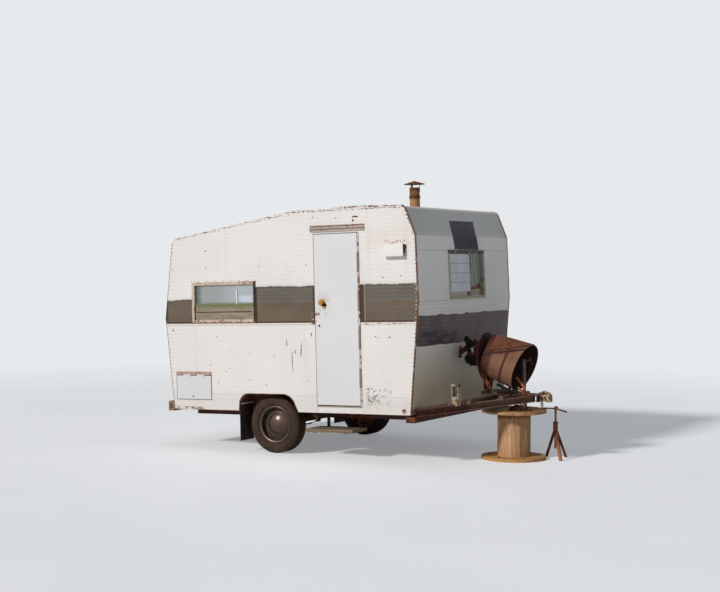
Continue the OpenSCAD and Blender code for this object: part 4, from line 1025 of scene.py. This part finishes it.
def wheel(side, s, node):
    """The pieces on one wheel; s is the sign of its side."""
    body = "wheel_" + side
    axis = (0, s, 0)
    c = Vector((HUB[0], s * WHEEL_Y, HUB[2]))
    profile = SIDEWALL + [(r, -h) for r, h in SIDEWALL[::-1]] + SIDEWALL[:1]
    b = Build().lathe(profile, c, axis, STEPS, False)
    for j, (h0, h1) in enumerate(LANES):
        for i in range(BLOCKS):
            t0 = tau * (i + 0.5 * (j % 2)) / BLOCKS
            t1 = t0 + tau / BLOCKS * 0.74
            v = [(0.276, t, h) for t in (t0, t1) for h in (h0, h1)]
            v += [(0.2829, t, h) for t in (t0 + 0.006, t1 - 0.006)
                  for h in (h0 + 0.0015, h1 - 0.0015)]
            b.add([c + Vector((r * cos(t), s * h, r * sin(t))) for r, t, h in v],
                  [(4, 5, 7, 6), (0, 1, 5, 4), (1, 3, 7, 5), (3, 2, 6, 7), (2, 0, 4, 6)])
    ob = b.done("tyre_tread_" + side, TYRE, "tyre", body, tipped=False)
    faces = ob.data.polygons
    faces.foreach_set("use_smooth", [p.index < STEPS * (len(profile) - 2) for p in faces])
    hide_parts(node)
    b = Build().lathe(RIM_RING, c, axis, 72, False).lathe(CAP_RING, c, axis, 64, False)
    b.done("rim_ring_" + side, CAP, "rim", body, True, False)
    # painted shade: black patches for the holes in the rim's disc, and the valve
    b = Build()
    for i in range(8):
        t = tau * (i + 0.5) / 8
        d = Vector((cos(t), 0, sin(t)))
        e = Vector((-sin(t), 0, cos(t)))
        m = c + Vector((0, s * 0.0125, 0)) + d * 0.1545
        b.add([m + e * a + d * r + Vector((0, y, 0)) for y in (0, s * 0.0015) for a, r in
               ((-0.02, -0.006), (0.02, -0.006), (0.016, 0.007), (-0.016, 0.007))], ROUND)
    x, z = spin(0.168, 2.4)
    b.lathe([(0.0035, 0), (0.0035, 0.028)], c + Vector((x, s * 0.05, z)), axis, 8)
    b.done("rim_slots_" + side, BLACK, "rim", body, tipped=False)


wheel("near", -1, "tyre_near")
wheel("far", 1, "tyre_far")

# the drum: its tub, hoop, rim and dark inside, on the same axis as the frame's
DRUM_R, DRUM_L = 0.235, 0.39
TAPER = tan(radians(6))
DIP = radians(112)                 # from upright, forward and down
D = (Matrix.Translation(DRUM_AT) @ Matrix.Rotation(radians(12.6), 4, "Z")
     @ Matrix.Rotation(DIP, 4, "Y"))
MOUTH = (D.to_3x3().inverted() @ Matrix.Rotation(radians(-2), 3, "Z")
         @ Matrix.Rotation(DIP, 3, "Y") @ Vector(UPWARD))


def drum_r(h):
    return DRUM_R - (DRUM_L - h) * TAPER


def tub(name, look, rows, fan=False):
    """A skin on the tub. A row is a height with its distance out from the tub's cone;
    a height up to 0 counts from the slanting mouth."""
    n = STEPS
    v = []
    for z, out in rows:
        for i in range(n):
            t = tau * i / n
            g = MOUTH[0] * cos(t) + MOUTH[1] * sin(t)
            h = z if z > 0 else DRUM_L - DRUM_R * g / (MOUTH[2] + TAPER * g) + z
            v.append((*spin(drum_r(h) + out, t), h))
    f = hoops(n, len(v))
    if fan:
        f.append(tuple(range(len(v) - n, len(v))))
    return Build(D).add(v, f).done(name, look, "drum")


shell = tub("drum_tub", DRUM, [(0.0005, -0.06), (0.0005, 0.004), (0.008, 0.004), (0.0085, 0),
                               (-0.009, 0), (-0.009, 0.004), (0, 0.004), (0, -0.0005)])
tub("drum_hoop", BROWN, [(0.204, 0.0002), (0.205, 0.0052), (0.223, 0.0052), (0.224, 0.0002)])
tub("drum_liner", LINER, [(0, -0.0005), (-0.001, -0.004), (0.018, -0.004)], True)
PLATE_AT, AHEAD = (1.743, -0.049, 0.908), (1, 0, 0)
b = Build().lathe([(0.234, 0), (0.24, 0.004), (0.24, 0.01), (0.234, 0.014)], PLATE_AT, AHEAD, 72)
b.lathe([(0.21, -0.003), (0.216, -0.003), (0.216, 0), (0.21, 0)], PLATE_AT, AHEAD, 72, False)
plate = b.done("drum_plate", DRUM, "drum")
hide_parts("drum_shell")
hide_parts("drum_shell")
b = Build(D)
for i in range(20):
    t = tau * i / 20
    for h, out in ((0.03, 0), (0.214, 0.0052)):
        b.lathe([(0.0055, 0), (0.004, 0.003)], (*spin(drum_r(h) + out, t), h), (*spin(1, t), 0), 8)
b.done("drum_rivets", BROWN, "drum")

# stays in the mouth of the drum, the winch behind it and what lies on the tongue
ALONG_Y = (0, 1, 0)
b = Build().bar((2.074, -0.1, 0.718), (2.159, -0.1, 0.615), 0.016, 0.018)
b.bar((2.081, -0.1, 0.628), (2.162, -0.1, 0.552), 0.016, 0.018)
b.bar((2.159, -0.1, 0.617), (2.159, -0.1, 0.552), 0.016, 0.014, ALONG_Y)
b.done("drum_stays", STRUT, "drum")
b = Build().bar((1.741, -0.125, 0.74), (1.81, -0.125, 0.606), 0.03, 0.03)
b.bar((1.752, -0.06, 0.7), (1.752, -0.06, 0.59), 0.09, 0.012, ALONG_Y)
b.done("plate_foot", STRUT, "drum")
b = Build().bar((1.462, -0.08, 0.948), (1.65, -0.08, 1.06), 0.04, 0.046)
b.bar((1.462, -0.08, 0.9), (1.462, -0.08, 1.02), 0.034, 0.03, ALONG_Y)
b.bar((1.65, -0.08, 1.045), (1.742, -0.08, 1.02), 0.05, 0.05)
b.done("winch_arm", BROWN, "drum")
b = Build().lathe([(0.02, -0.045), (0.052, -0.045), (0.052, -0.038), (0.03, -0.036),
                   (0.03, 0.036), (0.052, 0.038), (0.052, 0.045), (0.02, 0.045)],
                  (1.59, -0.08, 0.892), ALONG_Y, 24)
b.bar((1.56, -0.15, 1.105), (1.64, -0.15, 1.03), 0.014, 0.05)
b.bar((1.545, -0.11, 1.09), (1.6, -0.11, 0.94), 0.02, 0.026)
b.bar((1.59, -0.03, 0.892), (1.744, -0.03, 0.905), 0.02, 0.02)
b.bar((1.6, -0.13, 0.84), (1.744, -0.13, 0.85), 0.024, 0.03)
b.done("winch_parts", BLACK, "drum")
b = Build()
random.seed(6)
for i in range(10):
    r = between(0.01, 0.017)
    b.lathe([(r * 0.5, -r), (r, -r * 0.5), (r, r * 0.5), (r * 0.5, r)],
            (1.9 + i * 0.0165, -0.15 + between(-0.012, 0.012),
             0.645 - i * 0.0075 + between(-0.008, 0.008)),
            (random.random(), 1, random.random()), 10)
b.box((1.86, -0.165, 0.585), (2.09, -0.12, 0.602)).done("tongue_fittings", BLACK, "chassis")

# bolts of the reel: sunk ones on its top, standing ones inside both flanges
SUNK = [(0.011, -0.006), (0.011, -0.0001)]
STUD = [(0.011, 0), (0.011, 0.0045), (0.006, 0.007)]
lo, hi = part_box("reel_flanges")
REEL_TOP = hi[2]
b = Build()
for z, s, profile in ((REEL_TOP, 1, SUNK), (0.448, -1, STUD), (0.03, 1, STUD)):
    for i in range(6):
        x, y = spin(0.235, tau * i / 6 + 0.3)
        b.lathe(profile, ((lo[0] + hi[0]) / 2 + x, (lo[1] + hi[1]) / 2 + y, z), (0, 0, s), 10)
b.done("reel_bolts", BROWN, "reel_wood", tipped=False)

# the loose chain heaped on the reel
b = Build()
random.seed(9)
for i in range(46):
    a = random.random() * tau
    r = 0.01 + 0.085 * random.random()
    x, y = 1.6 + 1.25 * r * cos(a), -0.13 + 0.75 * r * sin(a)
    high = 0.062 * (1 - r / 0.095)
    b.ring((x, y, REEL_TOP + 0.0095 + high * random.random()),
           (between(-1, 1), between(-1, 1), 1.2), 0.0165, 0.0042, 0.62)
b.done("chain_heap", IRON, "galvanised", tipped=False)

# a black knob on the jack stand
lo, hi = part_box("jack_stand")
b = Build().lathe([(0.012, 0), (0.015, 0.006), (0.015, 0.018), (0.009, 0.024)],
                  ((lo[0] + hi[0]) / 2 + 0.016, (lo[1] + hi[1]) / 2, 0.482), UPWARD, 14)
b.done("stand_knob", BLACK, "stand", tipped=False)

# coupler: bolts and latch on top, bolts and plates on its near side
b = Build()
for x in (2.285, 2.325, 2.365):
    for y in (-0.026, 0.026):
        b.lathe([(0.009, 0), (0.009, 0.006), (0.005, 0.009)], (x, y, 0.5485), UPWARD, 6)
b.bar((2.255, 0, 0.556), (2.318, 0, 0.582), 0.018, 0.012)
b.bar((2.318, 0, 0.582), (2.372, 0, 0.56), 0.018, 0.01)
b.lathe([(0.01, -0.034), (0.01, 0.034)], (2.3, 0, 0.566), ALONG_Y, 10)
b.done("coupler_latch", HEAD, "chassis")
b = Build()
for x, y, z in ((2.262, -0.03, 0.5), (2.262, -0.03, 0.522), (2.3, -0.03, 0.512),
                (2.334, -0.034, 0.524), (2.35, -0.034, 0.5)):
    b.lathe([(0.0085, 0), (0.0085, 0.005), (0.004, 0.007)], (x, y, z), OUTWARD, 6)
b.box((2.245, -0.0335, 0.478), (2.285, -0.03, 0.54))
b.box((2.292, -0.0345, 0.484), (2.306, -0.03, 0.535)).done("coupler_bolts", BLACK, "chassis")

# bolts along the tow arms, whose height changes by 0.078 from end to end
ARM_REAR, ARM_TIP = Vector((1.439, 0.953, 0)), Vector((2.219, 0.036, 0))
RUN = (ARM_TIP - ARM_REAR).normalized()
b = Build()
for s in (-1, 1):
    out = Vector((-RUN[1], RUN[0] * s, 0))
    for q in (0.12, 0.3, 0.52, 0.7, 0.88):
        c = ARM_REAR.lerp(ARM_TIP, q)
        b.lathe([(0.011, 0), (0.011, 0.006), (0.006, 0.009)],
                Vector((c[0], c[1] * s, 0.45 + 0.078 * q)) + out * 0.0255, out, 6)
b.done("arm_bolts", BROWN, "chassis")

# planks of the step, with bolts and a dark front edge
b = Build()
for ya, yb, top in ((-0.959, -0.868, 0.2555), (-0.863, -0.776, 0.2561), (-0.771, -0.684, 0.2567)):
    b.box((0.219, ya, 0.254), (0.742, yb, top))
b.done("step_planks", STEPW, "step")
b = Build()
for x in (0.3, 0.665):
    for y in (-0.915, -0.82, -0.73):
        b.head((x, y, 0.256), UPWARD, 0.007, 0.002, 10)
b.box((0.2185, -0.9602, 0.2365), (0.7425, -0.9596, 0.24)).done("step_bolts", BROWN, "step")

# the joint and the nails of the window's boards, and the pale strip over the hatch
Build().box((-1.02, -1.0145, 1.3955), (-0.345, -1.0128, 1.4035)).done("board_joint", BLACK,
                                                                     "boards")
b = Build().box((-1.293, -1.0215, 0.766), (-0.85, STRIP_Y, 0.798))
b.done("hatch_strip", HATCH_STRIP)
b = Build()
for x in (-0.985, -0.69, -0.38):
    for z in (1.36, 1.435):
        b.head((x, -1.013, z), OUTWARD, 0.005, 0.0015)
b.done("board_nails", BROWN, "boards")

# screws of the side windows' flanges
b = Build()
for s in (-1, 1):
    for i in range(9):
        for z in (1.286, 1.708):
            b.lathe([(0.0045, -0.002), (0.0035, -0.0001)], (i * 0.0985 - 1.075, s * 1.023, z),
                    (0, s, 0), 8)
b.done("frame_screws", BROWN)

# a loose pale strip and rusted flakes on the roof's edge over the door
b = Build().box((0.705, -1.017, ROOF_Z), (1.05, -0.99, 2.386))
b.box((1.24, -1.017, 2.3665), (1.375, -0.99, 2.374)).done("roof_strip", TRIM, "roof")
b = Build()
random.seed(12)
for i in range(9):
    x = 1.055 + i * 0.017
    b.box((x, -1.0168, 2.3662), (x + 0.016, -0.995, 2.37 + random.random() * 0.012))
b.done("roof_flakes", STRUT, "roof")

# camera, as fitted to the photo
TURN = PLACE.to_3x3()
at = PLACE @ Vector((7.74634, -12.71481, 1.66757))
right = TURN @ Vector((0.862845, 0.504878, -0.02442))
ahead = TURN @ Vector((-0.505212, 0.862939, -0.009852))
cam = bpy.data.cameras.new("camera")
cam.sensor_width = 36
cam.lens = 36 * 1437.77 / 720           # focal length and width of the photo, in pixels
camera = linked("camera", cam)
axes = Matrix((right, right.cross(ahead), -ahead)).transposed()
camera.matrix_world = Matrix.Translation(at) @ axes.to_4x4()
bpy.context.scene.camera = camera

# a low soft key from behind and to the door side, as the shadow on the ground says
key = bpy.data.lights.new("key", "SUN")
key.energy, key.angle, key.color = 2.22, 0.12, (1.0, 0.965, 0.92)
ob = linked("key", key)
ob.rotation_mode = "QUATERNION"
ob.rotation_quaternion = (TURN @ Vector((-0.55, -1.55, 1.0))).to_track_quat("Z", "Y")

# a dim sky that lights, and a pale one that is seen, straight or in a gloss
PALE = (0.8, 0.82, 0.84, 1)
world = bpy.data.worlds.new("studio")
world.use_nodes = True
g = Graph(world.node_tree)
g.nt.nodes.clear()
sky = g.new("Background", (0.86, 0.93, 1.0, 1), 0.16).outputs[0]
seen = g.new("Background", PALE, 1.0).outputs[0]
rays = g.new("LightPath").outputs
direct = g.most(*(rays[f"Is {kind} Ray"] for kind in ("Camera", "Transmission", "Glossy")))
g.new("OutputWorld", g.new("MixShader", direct, sky, seen).outputs[0])
bpy.context.scene.world = world

# a pale floor, lifted a little for the camera, that fades into the sky
me = bpy.data.meshes.new("floor")
me.from_pydata([(-60, -60, 0), (60, -60, 0), (60, 60, 0), (-60, 60, 0)], [], [(0, 1, 2, 3)])
floor = linked("floor", me)
k = Look("floor_pale", 0.9)
k.c = k.mix(k.step(k.noise(0.6), 0.3, 0.7), (0.86, 0.88, 0.91, 1), (0.9, 0.92, 0.95, 1))
me.materials.append(k.paint())
lift = k.mul(k.new("LightPath").outputs["Is Camera Ray"], 0.26)
lift = k.new("Emission", (0.9, 0.93, 0.98, 1), lift).outputs[0]
near = k.new("AddShader", k.bsdf.outputs[0], lift).outputs[0]
far = k.new("Emission", PALE, 1.0).outputs[0]
away = k.math("SQRT", k.add(k.mul(k.x, k.x), k.mul(k.y, k.y)))
k.put(k.out, k.new("MixShader", k.step(away, 5, 13), near, far).outputs[0])

bpy.context.scene.view_settings.view_transform = "Standard"
